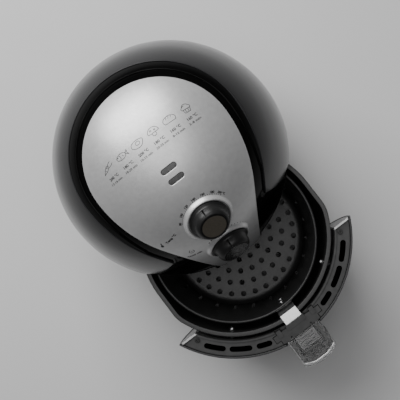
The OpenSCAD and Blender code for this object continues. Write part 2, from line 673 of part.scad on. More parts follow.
// The place of a pan screw's head inside the pan's wall, +Z pointing into the pan
function pan_wall_r(z) = let (f = (z - pan_low_z - pan_round) / (pan_z - pan_low_z - pan_round))
    pan_front_r + pan_wall_g - (pan_taper - 1) * (1 - f);
module pan_screw_place(s) {
    translate([0, front_centre, 0]) rotate([0, 0, -90 + s * pan_screw_angle])
        translate([pan_wall_r(pan_screw_z) - pan_t, 0, pan_screw_z]) rotate([0, -90, 0]) children();
}
module pan_screws() color([0.8, 0.8, 0.82]) drawer_place() for (s = [-1, 1])
    pan_screw_place(s) translate([0, 0, 0.4]) screw(head_r = 3.4, head_h = 1.8, shank_r = 1.7, length = 6.4);

// Skin and floor of the drawer's front, flush with the body
notch_w = handle_w + 2 * (guard_side + gap) + 2 * part_gap;
front_top = opening_z - part_gap - 0.8;
arm_low = pan_z - 16;
arm_slot = arm_low - 1;
module front_zone(inset = 0) difference() {
    translate([-far / 2, -far - front_cut - part_gap - inset, sill_z + part_gap])
        cube([far, far, front_top - sill_z - part_gap]);
}
module drawer_front() color([0.05, 0.05, 0.055]) drawer_place() difference() {
    intersection() {
        union() {
            body_skin(0, shell_t);
            difference() {
                intersection() {
                    body_solid(shell_t / 2);
                    translate([0, 0, sill_z + part_gap]) cylinder(h = 2.4, r = far, $fn = 48);
                }
                prism() pan_outline(-pan_taper - pan_round / 2);
            }
        }
        front_zone();
    }
    translate([-notch_w / 2, -far, arm_slot]) cube([notch_w, far, far]);
}
frame_gap = 3.6;
block_seam = 0.7;      // visible gap between the handle's block and the frame
frame_t = 2.2;
plate_z = pan_z + 2;
plate_t = 3;
slot_r = body_r - 12;
slots = [[20.5, 19], [33, 27], [46.7, 26]];    // angle from the front, length
slot_w = 6.5;
block_w = 53;
ear_w = 65;
block_y0 = pan_r + pan_nose + 2.2;
block_y1 = block_y0 + 17.7;
plate_y0 = block_y0 + 1.5;
block_z1 = plate_z + 3.4;
block_z0 = block_z1 - 11.4;
module slot_shape(angle, length) {
    sweep = (length - slot_w) / slot_r * 180 / PI;
    mid = -90 + angle;
    from = mid - sweep / 2;
    to = mid + sweep / 2;
    polygon(concat(
        arc(0, 0, slot_r + slot_w / 2, from, to, 3),
        [for (a = [30:30:150]) slot_r * [cos(to), sin(to)] + slot_w / 2 * [cos(to + a), sin(to + a)]],
        arc(0, 0, slot_r - slot_w / 2, to, from, 3),
        [for (a = [30:30:150]) slot_r * [cos(from), sin(from)] + slot_w / 2 * [cos(from + 180 + a), sin(from + 180 + a)]]));
}
pad_h = 0.7;
ear_y0 = block_y0 + 3.6;
ear_y1 = ear_y0 + 7.7;
module block_outline(grow = 0) {
    translate([-block_w / 2 - grow, -block_y1 - 20]) square([block_w + 2 * grow, block_y1 + 20 - block_y0 + grow]);
    translate([-ear_w / 2 - grow, -ear_y1 - grow]) square([ear_w + 2 * grow, ear_y1 - ear_y0 + 2 * grow]);
}
module drawer_frame() color([0.13, 0.13, 0.13]) drawer_place() intersection() {
    body_solid(shell_t + gap);
    front_zone(2.6);
    difference() {
        union() {
            prism(plate_z, plate_z + plate_t) circle(r = body_r, $fn = 160);
            prism(sill_z + part_gap + 2.6, plate_z + plate_t + 1.4) pan_outline(frame_gap + frame_t);
            for (s = [-1, 1]) pan_screw_place(s) translate([0, 0, -pan_t - 12]) cylinder(h = 12 - 0.1, r = 5, $fn = 32);
            // ledge that carries the handle's block
            translate([-ear_w / 2 - 1, -block_y1 + 3, block_z0 - 3]) cube([ear_w + 2, 24, 3]);
        }
        difference() {
            prism() pan_outline(frame_gap);
            for (s = [-1, 1]) pan_screw_place(s) translate([0, 0, -pan_t - 12]) cylinder(h = 12 - 0.1, r = 5, $fn = 32);
        }
        prism(block_z0 - gap, far) {
            block_outline(block_seam);
            translate([-block_w / 2 - block_seam, -block_y0 - 2]) square([block_w + 2 * block_seam, 10]);
        }
        for (s = [-1, 1]) pan_screw_place(s) translate([0, 0, -20]) cylinder(h = 40, r = 1.8, $fn = 24);
        for (s = [-1, 1], f = slots) prism(plate_z - 1, far) slot_shape(s * f[0], f[1]);
        for (s = [-1, 1]) translate([s * frame_screw_x, -frame_screw_y, plate_z - 1]) cylinder(h = 20, r = 1.7, $fn = 24);
    }
}
frame_screw_y = front_cut + part_gap + 2.6 + 5.5;
frame_screw_out = pan_front_r + frame_gap + frame_t + 4.2;    // from the front curve's centre
frame_screw_x = sqrt(pow(frame_screw_out, 2) - pow(frame_screw_y + front_centre, 2));
end_wall_t = 2.3;
module frame_screws() color([0.6, 0.6, 0.62]) drawer_place() for (s = [-1, 1])
    translate([s * frame_screw_x, -frame_screw_y, plate_z + plate_t]) screw(head_r = 2.8, head_h = 1.6, shank_r = 1.5, length = 7);
module drawer_end_walls() color([0.5, 0.5, 0.5]) drawer_place() intersection() {
    body_solid(shell_t + gap);
    translate([-far / 2, -front_cut - part_gap - end_wall_t, sill_z + part_gap + 2.6])
        cube([far, end_wall_t, front_top - sill_z - part_gap - 2.6]);
    difference() {
        prism() circle(r = far, $fn = 48);
        prism() pan_outline(frame_gap);
    }
}

// ---------- basket ----------

basket_top = pan_z + 3;
basket_low = pan_low_z + basket_stand;
basket_depth = basket_top - basket_low;
bead_r = 1.5;
wall_top_r = basket_r - 2.4;
hole_rings = [[0, 1], [15, 6], [30, 12], [45, 18], [60, 24], [75, 30]];    // radius, holes
function basket_wall_r(z) = wall_top_r - basket_taper * (basket_top - z) / basket_depth;
module basket() color([0.07, 0.07, 0.07]) drawer_place() difference() {
    union() {
        rotate_extrude($fn = 160) polygon([
            [0, basket_low], [wall_top_r - basket_taper - 8, basket_low], [wall_top_r - basket_taper - 2.6, basket_low + 2.4],
            [basket_wall_r(basket_low + 8), basket_low + 8], [wall_top_r, basket_top - 3], [basket_r, basket_top - 3],
            [basket_r, basket_top - 0.8], [basket_r - 0.8, basket_top], [wall_top_r - basket_t, basket_top],
            [basket_wall_r(basket_low + 8) - basket_t, basket_low + 8.4],
            [wall_top_r - basket_taper - 3.4, basket_low + 3.4], [wall_top_r - basket_taper - 8.4, basket_low + basket_t],
            [0, basket_low + basket_t]]);
    }
    for (f = hole_rings, i = [0:f[1] - 1]) rotate(360 * i / f[1]) translate([f[0], 0, basket_low - 5])
        cylinder(h = 12, r = 3.2, $fn = 24);
    for (i = [0:23]) rotate(15 * i + 7.5) translate([60, -2, basket_low + 12]) cube([60, 4, 26]);
    for (z = rivet_z) translate([0, -60, z]) rotate([90, 0, 0]) cylinder(h = 60, r = 1.7, $fn = 24);
}
strap_w = 22;
strap_t = 1.5;
strap_z = pan_z + 1.4;
strap_y0 = wall_top_r + 0.75;
strap_low = basket_top - 43;
strap_room = 2.6;                               // between the strap and the pan's wall
strap_knee = basket_top - 11.5;                // where the strap starts to lean out
strap_bend = pan_front_r + pan_wall_g - pan_t - front_centre - strap_room;    // where it turns level over the pan's rim
module basket_strap() color([0.85, 0.85, 0.86]) drawer_place() difference() {
    translate([-strap_w / 2, 0, 0]) rotate([90, 0, 90]) linear_extrude(strap_w) polygon([
        [-strap_y0, strap_low], [-strap_y0 - strap_t, strap_low], [-strap_y0 - strap_t, strap_knee],
        [-strap_bend + 1.6, strap_z - 2.4], [-strap_bend, strap_z], [-plate_y0 + gap, strap_z],
        [-plate_y0 + gap, strap_z + strap_t], [-strap_bend + 0.9, strap_z + strap_t],
        [-strap_bend + 3.1, strap_z - 1.6], [-strap_y0, strap_knee + 1.2]]);
    for (z = rivet_z) translate([0, -strap_y0 + 5, z]) rotate([90, 0, 0]) cylinder(h = 12, r = 1.7, $fn = 24);
}
rivet_z = [basket_top - 37, basket_top - 15.5];
module strap_rivets() color([0.85, 0.85, 0.87]) drawer_place() for (z = rivet_z) translate([0, 0, z]) rotate([90, 0, 0]) {
    inner = basket_wall_r(z) - basket_t - 0.8;
    translate([0, 0, strap_y0 + strap_t + 0.05]) cylinder(h = 1, r = 3.2, $fn = 32);
    translate([0, 0, inner]) cylinder(h = strap_y0 + strap_t + 0.5 - inner, r = 1.6, $fn = 24);
    translate([0, 0, inner - 0.6]) cylinder(h = 1, r = 3, $fn = 32);
}

// ---------- handle ----------

handle_top = pan_z + 4;
handle_low = handle_top - handle_l;
end_r = 42;
end_y = handle_reach - end_r;
cover_t = 2.5;
grip_back = handle_reach - 15;
grip_screw_z = handle_low + 38;
// Side outline of the grip's front face, from the top down, moved back by inset
function grip_front(inset) = [
    [-handle_reach + 0.7 + inset, handle_top], [-handle_reach + 0.2 + inset, handle_top - 9],
    [-handle_reach + inset, handle_top - 26], [-handle_reach + 1 + inset, handle_top - 54],
    [-handle_reach + 4.5 + inset, handle_low + 6]];
pocket_y0 = handle_reach - 37;
pocket_l = 17;
pocket_w = 27;
// Solid grip between its front face, moved back by inset, and the line of points behind it
module grip_solid(inset, behind, w = handle_w) intersection() {
    translate([-w / 2, 0, 0]) rotate([90, 0, 90]) linear_extrude(w) polygon(concat(grip_front(inset), behind));
    translate([0, -end_y, 0]) cylinder(h = far, r = end_r - inset, $fn = 120);
}
rail_off = 14;
rail_end = handle_reach - 14;
core_gap = 0.05;
pad_w = 5.8;
plate_w = 25.4;
notch_l = block_w / 2 - pad_w - plate_w / 2;
module handle_core() color([0.1, 0.1, 0.1]) drawer_place() difference() {
    union() {
        grip_solid(cover_t + core_gap, [[-handle_reach + 9, handle_low], [-grip_back + 1, handle_low + 4],
            [-grip_back, handle_low + 33], [-grip_back + 0.5, arm_low - 14], [-grip_back + 3, arm_low - 5], [-grip_back + 8, arm_low],
            [-block_y1 + 1, arm_low], [-block_y1 + 1, handle_top]]);
        intersection() {
            prism(block_z0, block_z1) block_edge();
            body_solid(shell_t + 2 * gap);
        }
        // raised pads along the block's back edge
        for (x = [-block_w / 2, block_w / 2 - pad_w]) translate([x, -block_y0 - 9, block_z1 - 1]) cube([pad_w, 9, 1 + pad_h]);
        translate([-plate_w / 2, -plate_y0 - 6.2, block_z1 - 1]) cube([plate_w, 6.2, 1 + pad_h]);
    }
    // notches between the pads, and two pin holes
    for (s = [-1, 1]) {
        translate([s * (plate_w / 2 + block_w / 2 - pad_w) / 2 - notch_l / 2, -block_y0 - 3.5, block_z0 - 1]) cube([notch_l, 10, 30]);
        translate([s * 14, -block_y1 + 2.6, block_z1 - 4]) cylinder(h = 10, r = 1, $fn = 24);
    }
    // pocket for the button and its spring
    translate([-pocket_w / 2, -pocket_y0 - pocket_l, arm_low + 3]) cube([pocket_w, pocket_l, far]);
    // grooves for the guard's rails
    for (s = [-1, 1]) translate([s * (rail_off + 0.8) - 1.2, -far, handle_top - 2]) cube([2.4, far - block_y1 + 0.6, far]);
    for (s = [-1, 1]) translate([s * 12, -grip_back + 3, grip_screw_z]) rotate([90, 0, 0]) cylinder(h = 12, r = 1.7, $fn = 24);
    // seat of the strap
    translate([-strap_w / 2 - gap, -plate_y0, strap_z - gap]) cube([strap_w + 2 * gap, 10, 10]);
}
module block_edge() intersection() {
    block_outline();
    translate([-far / 2, -block_y1]) square([far, far]);
}
module handle_cover() color([0.72, 0.72, 0.74]) drawer_place() difference() {
    grip_solid(0, [[-grip_back - 3, handle_low + 6], [-grip_back - 3, handle_top]]);
    translate([0, 0, -1]) grip_solid(cover_t, [[-grip_back + 9, handle_low + 6], [-grip_back + 9, handle_top]], handle_w + 2);
    translate([0, 0, 1]) grip_solid(cover_t, [[-grip_back + 9, handle_low + 6], [-grip_back + 9, handle_top]], handle_w + 2);
    for (s = [-1, 1]) translate([s * (rail_off + 0.8) - 1.2, -far, handle_top - 2]) cube([2.4, far, far]);
}
module handle_screws() color([0.6, 0.6, 0.62]) drawer_place() for (s = [-1, 1])
    translate([s * 12, -grip_back + 0.1, grip_screw_z]) rotate([-90, 0, 0]) screw(head_r = 3, head_h = 1.4, shank_r = 1.5, length = 7);

button_w = 26;
button_l = 16;
button_h = 8;
button_top = handle_top - 0.2;
button_y = pocket_y0 + pocket_l / 2;
module release_button() color([0.2, 0.2, 0.2]) drawer_place() {
    translate([-button_w / 2, -button_y - button_l / 2, button_top - button_h]) cube([button_w, button_l, button_h - 0.5]);
    for (i = [0:3]) translate([-9, -button_y - 5.6 + i * 3.2, button_top - 0.5]) cube([18, 1.2, 0.5]);
}
spring_z0 = arm_low + 3;
spring_top = button_top - button_h;
spring_r = 4.5;
module button_spring() color([0.75, 0.75, 0.77]) drawer_place() {
    turns = 4;
    wire = 0.5;
    tube([for (i = [0:48]) let (a = 360 * turns * i / 48)
        [spring_r * cos(a), -button_y + spring_r * sin(a), spring_z0 + wire + (spring_top - spring_z0 - 2 * wire - 0.1) * i / 48]], wire, 6);
}
guard_t = 1.8;
guard_z0 = handle_top + 0.3;
guard_drop = 6;
module guard_plan(grow) {
    intersection() {
        translate([-handle_w / 2 - grow, -far]) square([handle_w + 2 * grow, far - block_y1]);
        translate([0, -end_y]) circle(r = end_r + grow, $fn = 120);
    }
}
module button_guard() color([0.8, 0.8, 0.82, 0.4]) drawer_place() difference() {
    union() {
        prism(guard_z0, guard_z0 + guard_t) guard_plan(guard_side + gap);
        difference() {
            prism(guard_z0 - guard_drop, guard_z0 + guard_t) guard_plan(guard_side + gap);
            prism(guard_z0 - guard_drop - 1, guard_z0) guard_plan(gap);
            translate([0, -end_y, guard_z0 - guard_drop - 1]) cylinder(h = guard_drop + 1, r = end_r + gap, $fn = 120);
            translate([-far / 2, -block_y1 - 3, 0]) cube([far, far, far]);
        }
        for (s = [-1, 1]) translate([s * rail_off - 0.6 + s * 0.8, -rail_end, handle_top - 1.6]) cube([1.2, rail_end - block_y1 - 1, 2.2]);
        for (i = [0:3]) translate([-7 - i * 0.8, -handle_reach + 24 - i * 4.6, guard_z0 + guard_t]) cube([14 + i * 1.6, 1.2, 0.7]);
    }
}

// ---------- every node, moved from the body's axis to the part's frame ----------

module placed() translate([0, axis_y, 0]) children();

placed() body_shell();
placed() lid_bezel();
placed() control_panel();
placed() base_plate();
placed() rubber_feet();
placed() base_screws();
placed() bay_liner();
placed() bay_floor();
placed() slide_rails();
placed() heat_chamber();
placed() chamber_insulation();
placed() heating_element();
placed() element_clips();
placed() element_guard();
placed() motor_plate();
placed() motor_stator();
placed() motor_winding();
placed() motor_bridge();
placed() shaft_bearings();
placed() motor_screws();
placed() fan_shaft();
placed() motor_rotor();
placed() hot_air_fan();
placed() cooling_fan();
placed() fan_nut();
placed() exhaust_duct();
placed() rear_grille();
placed() cord_gland();
placed() terminal_block();
placed() thermal_cutout();
placed() thermostat();
placed() thermostat_bulb();
placed() thermostat_spindle();
placed() temperature_dial();
placed() temperature_dial_cap();
placed() timer();
placed() timer_bell();
placed() timer_spindle();
placed() timer_dial();
placed() timer_dial_cap();
placed() power_lamp();
placed() heating_lamp();
placed() lamp_board();
placed() drawer_switch();
placed() switch_plunger();
placed() pan();
placed() pan_screws();
placed() basket();
placed() basket_strap();
placed() strap_rivets();
placed() drawer_front();
placed() drawer_frame();
placed() drawer_end_walls();
placed() frame_screws();
placed() handle_core();
placed() handle_cover();
placed() handle_screws();
placed() release_button();
placed() button_spring();
placed() button_guard();
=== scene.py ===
import json
import math
import bpy
import bmesh
import numpy as np
from mathutils import Vector, Matrix, Euler
from mathutils.geometry import delaunay_2d_cdt


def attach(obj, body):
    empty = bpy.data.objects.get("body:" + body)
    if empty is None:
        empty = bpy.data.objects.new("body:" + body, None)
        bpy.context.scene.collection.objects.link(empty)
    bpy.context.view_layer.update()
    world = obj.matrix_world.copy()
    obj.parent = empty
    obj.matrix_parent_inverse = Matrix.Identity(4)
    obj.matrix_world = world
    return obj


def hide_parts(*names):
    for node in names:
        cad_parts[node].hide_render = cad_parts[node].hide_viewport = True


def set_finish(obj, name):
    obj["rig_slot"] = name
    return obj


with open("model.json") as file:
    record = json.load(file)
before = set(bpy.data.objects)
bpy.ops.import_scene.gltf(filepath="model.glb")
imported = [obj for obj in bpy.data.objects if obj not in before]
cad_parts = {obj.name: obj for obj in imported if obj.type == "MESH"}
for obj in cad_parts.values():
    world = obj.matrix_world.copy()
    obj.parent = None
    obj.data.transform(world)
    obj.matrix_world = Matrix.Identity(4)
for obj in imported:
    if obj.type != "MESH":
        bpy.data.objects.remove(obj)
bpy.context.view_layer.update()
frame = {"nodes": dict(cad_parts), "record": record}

N = frame["nodes"]
scene = bpy.context.scene

# ---- camera
FOCAL_PX = 843.5  # focal length in pixels of the photograph
PHOTO_PX = 400  # the photograph's width
SENSOR = 36.0
CAMERA_PLACE = (0.04985, -0.04655, 1.15678)
CAMERA_TURN = (1.104, 4.616, -37.431)  # degrees about x, y and z


def make_camera():
    data = bpy.data.cameras.new("camera")
    camera = bpy.data.objects.new("camera", data)
    scene.collection.objects.link(camera)
    camera.location = CAMERA_PLACE
    camera.rotation_euler = Euler([math.radians(a) for a in CAMERA_TURN], "XYZ")
    data.sensor_width = SENSOR
    data.sensor_fit = "HORIZONTAL"
    data.lens = FOCAL_PX / PHOTO_PX * SENSOR
    data.clip_start = 0.01
    data.clip_end = 20
    scene.camera = camera


make_camera()

# ---- shared sizes, mm
MM = 0.001
AY = 77.35  # y of the body's upright axis
DRAWER_OUT = 120.0  # how far the drawer stands out
DY = AY - DRAWER_OUT  # y of the drawer's upright axis
BODY_R, BODY_H, DOME_R, SIDE_R, LOWER_R = 141.0, 320.0, 130.5, 250.0, 305.0
SHELL_T, GAP = 2.6, 0.3
Z_DOME = BODY_H - DOME_R  # height of the dome's centre
Z_WIDE = Z_DOME - math.sqrt((SIDE_R - DOME_R) ** 2 - (SIDE_R - BODY_R) ** 2)
JOIN = math.atan2(Z_DOME - Z_WIDE, SIDE_R - BODY_R)
SHELL_FOOT = 7.0  # lower edge of the outer shell
PROFILE_FOOT = 6.0  # a little more surface than the shell uses
OPEN_Z, SILL_Z = 167.0, 20.0  # top and foot of the drawer's opening
FRONT_CUT = 60.0  # plane of the opening, in front of the body's axis
PANEL_RISE = 0.6  # the panel stands this much above the dome
DIAL_TILT, TIMER_TILT = 43.0, 67.0  # seats on the dome, degrees from its top
LAMP_TILTS = (11.4, 17.0)
ANY_CORNER = 400  # more than any bend, so that resample keeps none


# ---- mesh helpers
def new_object(name, verts, faces, normals=None, scale=MM):
    """A smooth-shaded object from points in mm, with a normal for each point where they are given."""
    me = bpy.data.meshes.new(name)
    me.from_pydata((np.asarray(verts, float) * scale).tolist(), [], [list(map(int, f)) for f in faces])
    me.polygons.foreach_set("use_smooth", [True] * len(me.polygons))
    me.update()
    if normals is not None:
        n = np.asarray(normals, float)
        n /= np.linalg.norm(n, axis=1)[:, None] + 1e-12
        me.normals_split_custom_set_from_vertices(n.tolist())
    ob = bpy.data.objects.new(name, me)
    scene.collection.objects.link(ob)
    return ob


def read(items, what):
    """One vector per vertex or corner."""
    flat = np.zeros(len(items) * 3)
    items.foreach_get(what, flat)
    return flat.reshape(-1, 3)


def join(name, obs):
    """One object of several, the normals of their corners kept."""
    verts, faces, norms, base = [], [], [], 0
    for ob in obs:
        me = ob.data
        verts.append(read(me.vertices, "co"))
        faces += [[i + base for i in p.vertices] for p in me.polygons]
        norms.append(read(me.corner_normals, "vector"))
        base += len(me.vertices)
        bpy.data.objects.remove(ob)
        bpy.data.meshes.remove(me)
    joined = new_object(name, np.concatenate(verts), faces, scale=1.0)
    joined.data.normals_split_custom_set(np.concatenate(norms).tolist())
    return joined


def arc(cx, cy, r, a):
    """Points of an arc at the angles a, in radians."""
    return np.stack([cx + r * np.cos(a), cy + r * np.sin(a)], 1)


def arc_degrees(cx, cy, r, a0, a1):
    """An arc with a point every 2 degrees or closer."""
    n = max(2, int(math.ceil(abs(a1 - a0) / 2)))
    return arc(cx, cy, r, np.radians(np.linspace(a0, a1, n + 1)))


def circle(r, n):
    a = np.linspace(0, 2 * math.pi, n, endpoint=False)
    return r * np.stack([np.cos(a), np.sin(a)], 1)


def unit(v):
    """Every row brought to length one."""
    return v / np.linalg.norm(v, axis=1)[:, None]


def corners_of(p, closed, keep):
    """Indices of a polyline's corners that are sharper than keep degrees, and of an open one's ends."""
    n = len(p)
    found = []
    for i in range(n):
        if not closed and i in (0, n - 1):
            found.append(i)
            continue
        a = p[i] - p[i - 1]
        b = p[(i + 1) % n] - p[i]
        c = np.dot(a, b) / (np.linalg.norm(a) * np.linalg.norm(b) + 1e-12)
        if math.degrees(math.acos(max(-1, min(1, c)))) > keep:
            found.append(i)
    return found or [0]


def resample(p, step, closed=True, keep=25.0):
    """Even spacing along a polyline; corners sharper than keep degrees stay."""
    p = np.asarray(p, float)
    ok = np.linalg.norm(np.roll(p, -1, 0) - p, axis=1) > 1e-6
    if not closed:
        ok[-1] = True
    p = p[ok]
    idx = corners_of(p, closed, keep)
    out = []
    m = len(idx)
    for k in range(m if closed else m - 1):
        i, j = idx[k], idx[(k + 1) % m]
        if closed and (m == 1 or j <= i):
            seq = np.concatenate([p[i:], p[:j + 1]])
        else:
            seq = p[i:j + 1]
        seg = np.linalg.norm(np.diff(seq, axis=0), axis=1)
        s = np.concatenate([[0], np.cumsum(seg)])
        c = max(1, int(round(s[-1] / step)))
        t = np.linspace(0, s[-1], c + 1)[:-1]
        out.append(np.stack([np.interp(t, s, seq[:, q]) for q in range(p.shape[1])], 1))
    if not closed:
        out.append(p[-1:])
    return np.concatenate(out)


def inside(pts, loops):
    """Even-odd test of 2-D points against closed loops."""
    pts = np.asarray(pts, float)
    res = np.zeros(len(pts), bool)
    for lp in loops:
        a, b = lp, np.roll(lp, -1, 0)
        for k in range(0, len(lp), 256):
            ax, ay = a[k:k + 256, 0][None], a[k:k + 256, 1][None]
            bx, by = b[k:k + 256, 0][None], b[k:k + 256, 1][None]
            px, py = pts[:, 0][:, None], pts[:, 1][:, None]
            cross = ((ay > py) != (by > py))
            with np.errstate(divide="ignore", invalid="ignore"):
                xi = (bx - ax) * (py - ay) / (by - ay) + ax
            res ^= (np.sum(cross & (px < xi), axis=1) % 2).astype(bool)
    return res


class Turned:
    """A surface of revolution about an upright axis. prof is a fine list of r, z points from its pole
    outwards, and offset moves it along its outward normal. Its flat map keeps angles."""
    def __init__(self, prof, offset=0.0, centre=(0.0, 0.0)):
        p = np.asarray(prof, float)
        d = unit(np.gradient(p, axis=0))
        self.n = np.stack([-d[:, 1], d[:, 0]], 1)
        self.p = p + self.n * offset
        seg = np.linalg.norm(np.diff(self.p, axis=0), axis=1)
        self.s = np.concatenate([[0], np.cumsum(seg)])
        r = np.maximum(self.p[:, 0], 1e-6)
        lr = np.zeros(len(r))
        start = max(1, int(np.argmax(r > 0.5)))
        for i in range(start + 1, len(r)):
            lr[i] = lr[i - 1] + seg[i - 1] * 0.5 * (1 / r[i - 1] + 1 / r[i])
        self.rho = np.exp(lr) * r[start]
        self.rho[:start] = r[:start]
        self.c = np.array(centre, float)

    def at(self, s, th):
        """Points at arc length s from the pole and th radians round from the front."""
        s, th = np.broadcast_arrays(s, th)
        r = np.interp(s, self.s, self.p[:, 0])
        z = np.interp(s, self.s, self.p[:, 1])
        return np.stack([self.c[0] + r * np.sin(th), self.c[1] - r * np.cos(th), z], 1)

    def s_of(self, p):
        """Nearest arc length for points in space, by their place in the r-z plane."""
        rz = np.stack([np.hypot(p[:, 0] - self.c[0], p[:, 1] - self.c[1]), p[:, 2]], 1)
        out = np.zeros(len(p))
        chunk = 2000
        for k in range(0, len(p), chunk):
            part = rz[k:k + chunk]
            d = (self.p[None, :, 0] - part[:, :1]) ** 2 + (self.p[None, :, 1] - part[:, 1:]) ** 2
            i = np.clip(np.argmin(d, 1), 1, len(self.s) - 2)
            t = self.p[i + 1] - self.p[i - 1]
            out[k:k + chunk] = self.s[i] + np.sum((part - self.p[i]) * t, 1) / np.linalg.norm(t, axis=1)
        return np.clip(out, 0, self.s[-1])

    def th_of(self, p):
        return np.arctan2(p[:, 0] - self.c[0], -(p[:, 1] - self.c[1]))

    def to2d(self, p):
        rho = np.interp(self.s_of(p), self.s, self.rho)
        th = self.th_of(p)
        return np.stack([rho * np.sin(th), -rho * np.cos(th)], 1)

    def normal(self, p):
        s = self.s_of(p)
        th = self.th_of(p)
        nr = np.interp(s, self.s, self.n[:, 0])
        nz = np.interp(s, self.s, self.n[:, 1])
        return np.stack([nr * np.sin(th), -nr * np.cos(th), nz], 1)

    def nearest(self, p):
        """Points in space dropped onto the surface."""
        return self.at(self.s_of(p), self.th_of(p))

    def s_at(self, z):
        return np.interp(-z, -self.p[:, 1], self.s)

    def r_at(self, z):
        return np.interp(-z, -self.p[:, 1], self.p[:, 0])

    def level(self, z, th):
        return self.at(self.s_at(z), th)

    def grid(self, lo, hi, h):
        """Points spread evenly, h apart, with their flat places, where those lie between lo and hi."""
        pts = []
        for row, s in enumerate(np.arange(h * 0.5, self.s[-1], h)):
            r = np.interp(s, self.s, self.p[:, 0])
            n = max(6, int(2 * math.pi * r / h))
            th = (np.arange(n) + 0.5 * (row % 2)) * 2 * math.pi / n
            pts.append(self.at(s, th))
        p = np.concatenate(pts)
        q = self.to2d(p)
        keep = (q[:, 0] > lo[0]) & (q[:, 0] < hi[0]) & (q[:, 1] > lo[1]) & (q[:, 1] < hi[1])
        return p[keep], q[keep]


# ---- closed shells on a surface
def edge_rings(surf, loop, flat_loops, thick, bevel, steps):
    """A shell's rounded edge along one loop: rings of points and normals from its face to its back."""
    n = surf.normal(loop)
    along = unit(np.roll(loop, -1, 0) - np.roll(loop, 1, 0))
    b = unit(np.cross(n, along))
    if np.mean(inside(surf.to2d(loop + b * 0.3), flat_loops)) < 0.5:
        b = -b  # b points into the material
    t0 = unit(loop - np.roll(loop, 1, 0))
    t1 = unit(np.roll(loop, -1, 0) - loop)
    mitre = b / np.sqrt(np.clip((1 + np.sum(t0 * t1, 1)) / 2, 0.2, 1))[:, None]
    rings = []
    for up in (1, -1):
        for k in range(steps + 1):
            a = math.pi / 2 * (k if up > 0 else steps - k) / steps
            down = bevel * (1 - math.cos(a))
            at = loop + mitre * bevel * (1 - math.sin(a)) - n * (down if up > 0 else thick - down)
            rings.append((at, up * n * math.cos(a) - b * math.sin(a)))
    return rings


def face_points(surf, edge, flat, h, extra):
    """Points inside the flat loops, h apart, that keep clear of the edge, with their flat places."""
    lo = np.min([q.min(0) for q in flat], 0)
    hi = np.max([q.max(0) for q in flat], 0)
    p, q = surf.grid(lo, hi, h)
    if extra is not None:
        p = np.concatenate([p, extra])
        q = np.concatenate([q, surf.to2d(extra)])
    ok = inside(q, flat)
    p, q = p[ok], q[ok]
    clear = np.ones(len(p), bool)
    chunk = 1500
    for k in range(0, len(p), chunk):
        d = np.min(np.linalg.norm(p[k:k + chunk, None] - edge[None], axis=2), axis=1)
        clear[k:k + chunk] = d > min(0.45 * h, 1.6)
    return p[clear], q[clear]


def triangles(q, flat):
    """Triangles between flat points q, inside the loops that q starts with."""
    edges, base = [], 0
    for lp in flat:
        m = len(lp)
        edges += [(base + i, base + (i + 1) % m) for i in range(m)]
        base += m
    made = delaunay_2d_cdt([Vector(x) for x in q.tolist()], edges, [], 0, 1e-7)
    place = np.array([[v[0], v[1]] for v in made[0]])
    tri = np.array([list(f) for f in made[2] if len(f) == 3])
    source = np.array([o[0] if len(o) else -1 for o in made[3]])
    tri = source[tri[inside(place[tri].mean(1), flat)]]
    tri = tri[(tri >= 0).all(1)]
    a, b, c = q[tri[:, 0]], q[tri[:, 1]], q[tri[:, 2]]
    area = (b[:, 0] - a[:, 0]) * (c[:, 1] - a[:, 1]) - (b[:, 1] - a[:, 1]) * (c[:, 0] - a[:, 0])
    tri, area = tri[np.abs(area) > 1e-9], area[np.abs(area) > 1e-9]
    tri[area < 0] = tri[area < 0][:, ::-1]
    return tri


def raised(p, nrm, lift):
    """Points lifted along their normals, and the normals of the lifted surface."""
    e = 0.05
    u = np.cross(nrm, [0.0, 1.0, 0.0])
    bad = np.linalg.norm(u, axis=1) < 1e-3
    u[bad] = np.cross(nrm[bad], [1.0, 0.0, 0.0])
    u = unit(u)
    w = np.cross(nrm, u)
    gu = (lift(p + u * e) - lift(p - u * e)) / (2 * e)
    gw = (lift(p + w * e) - lift(p - w * e)) / (2 * e)
    return p + nrm * lift(p)[:, None], unit(nrm - u * gu[:, None] - w * gw[:, None])


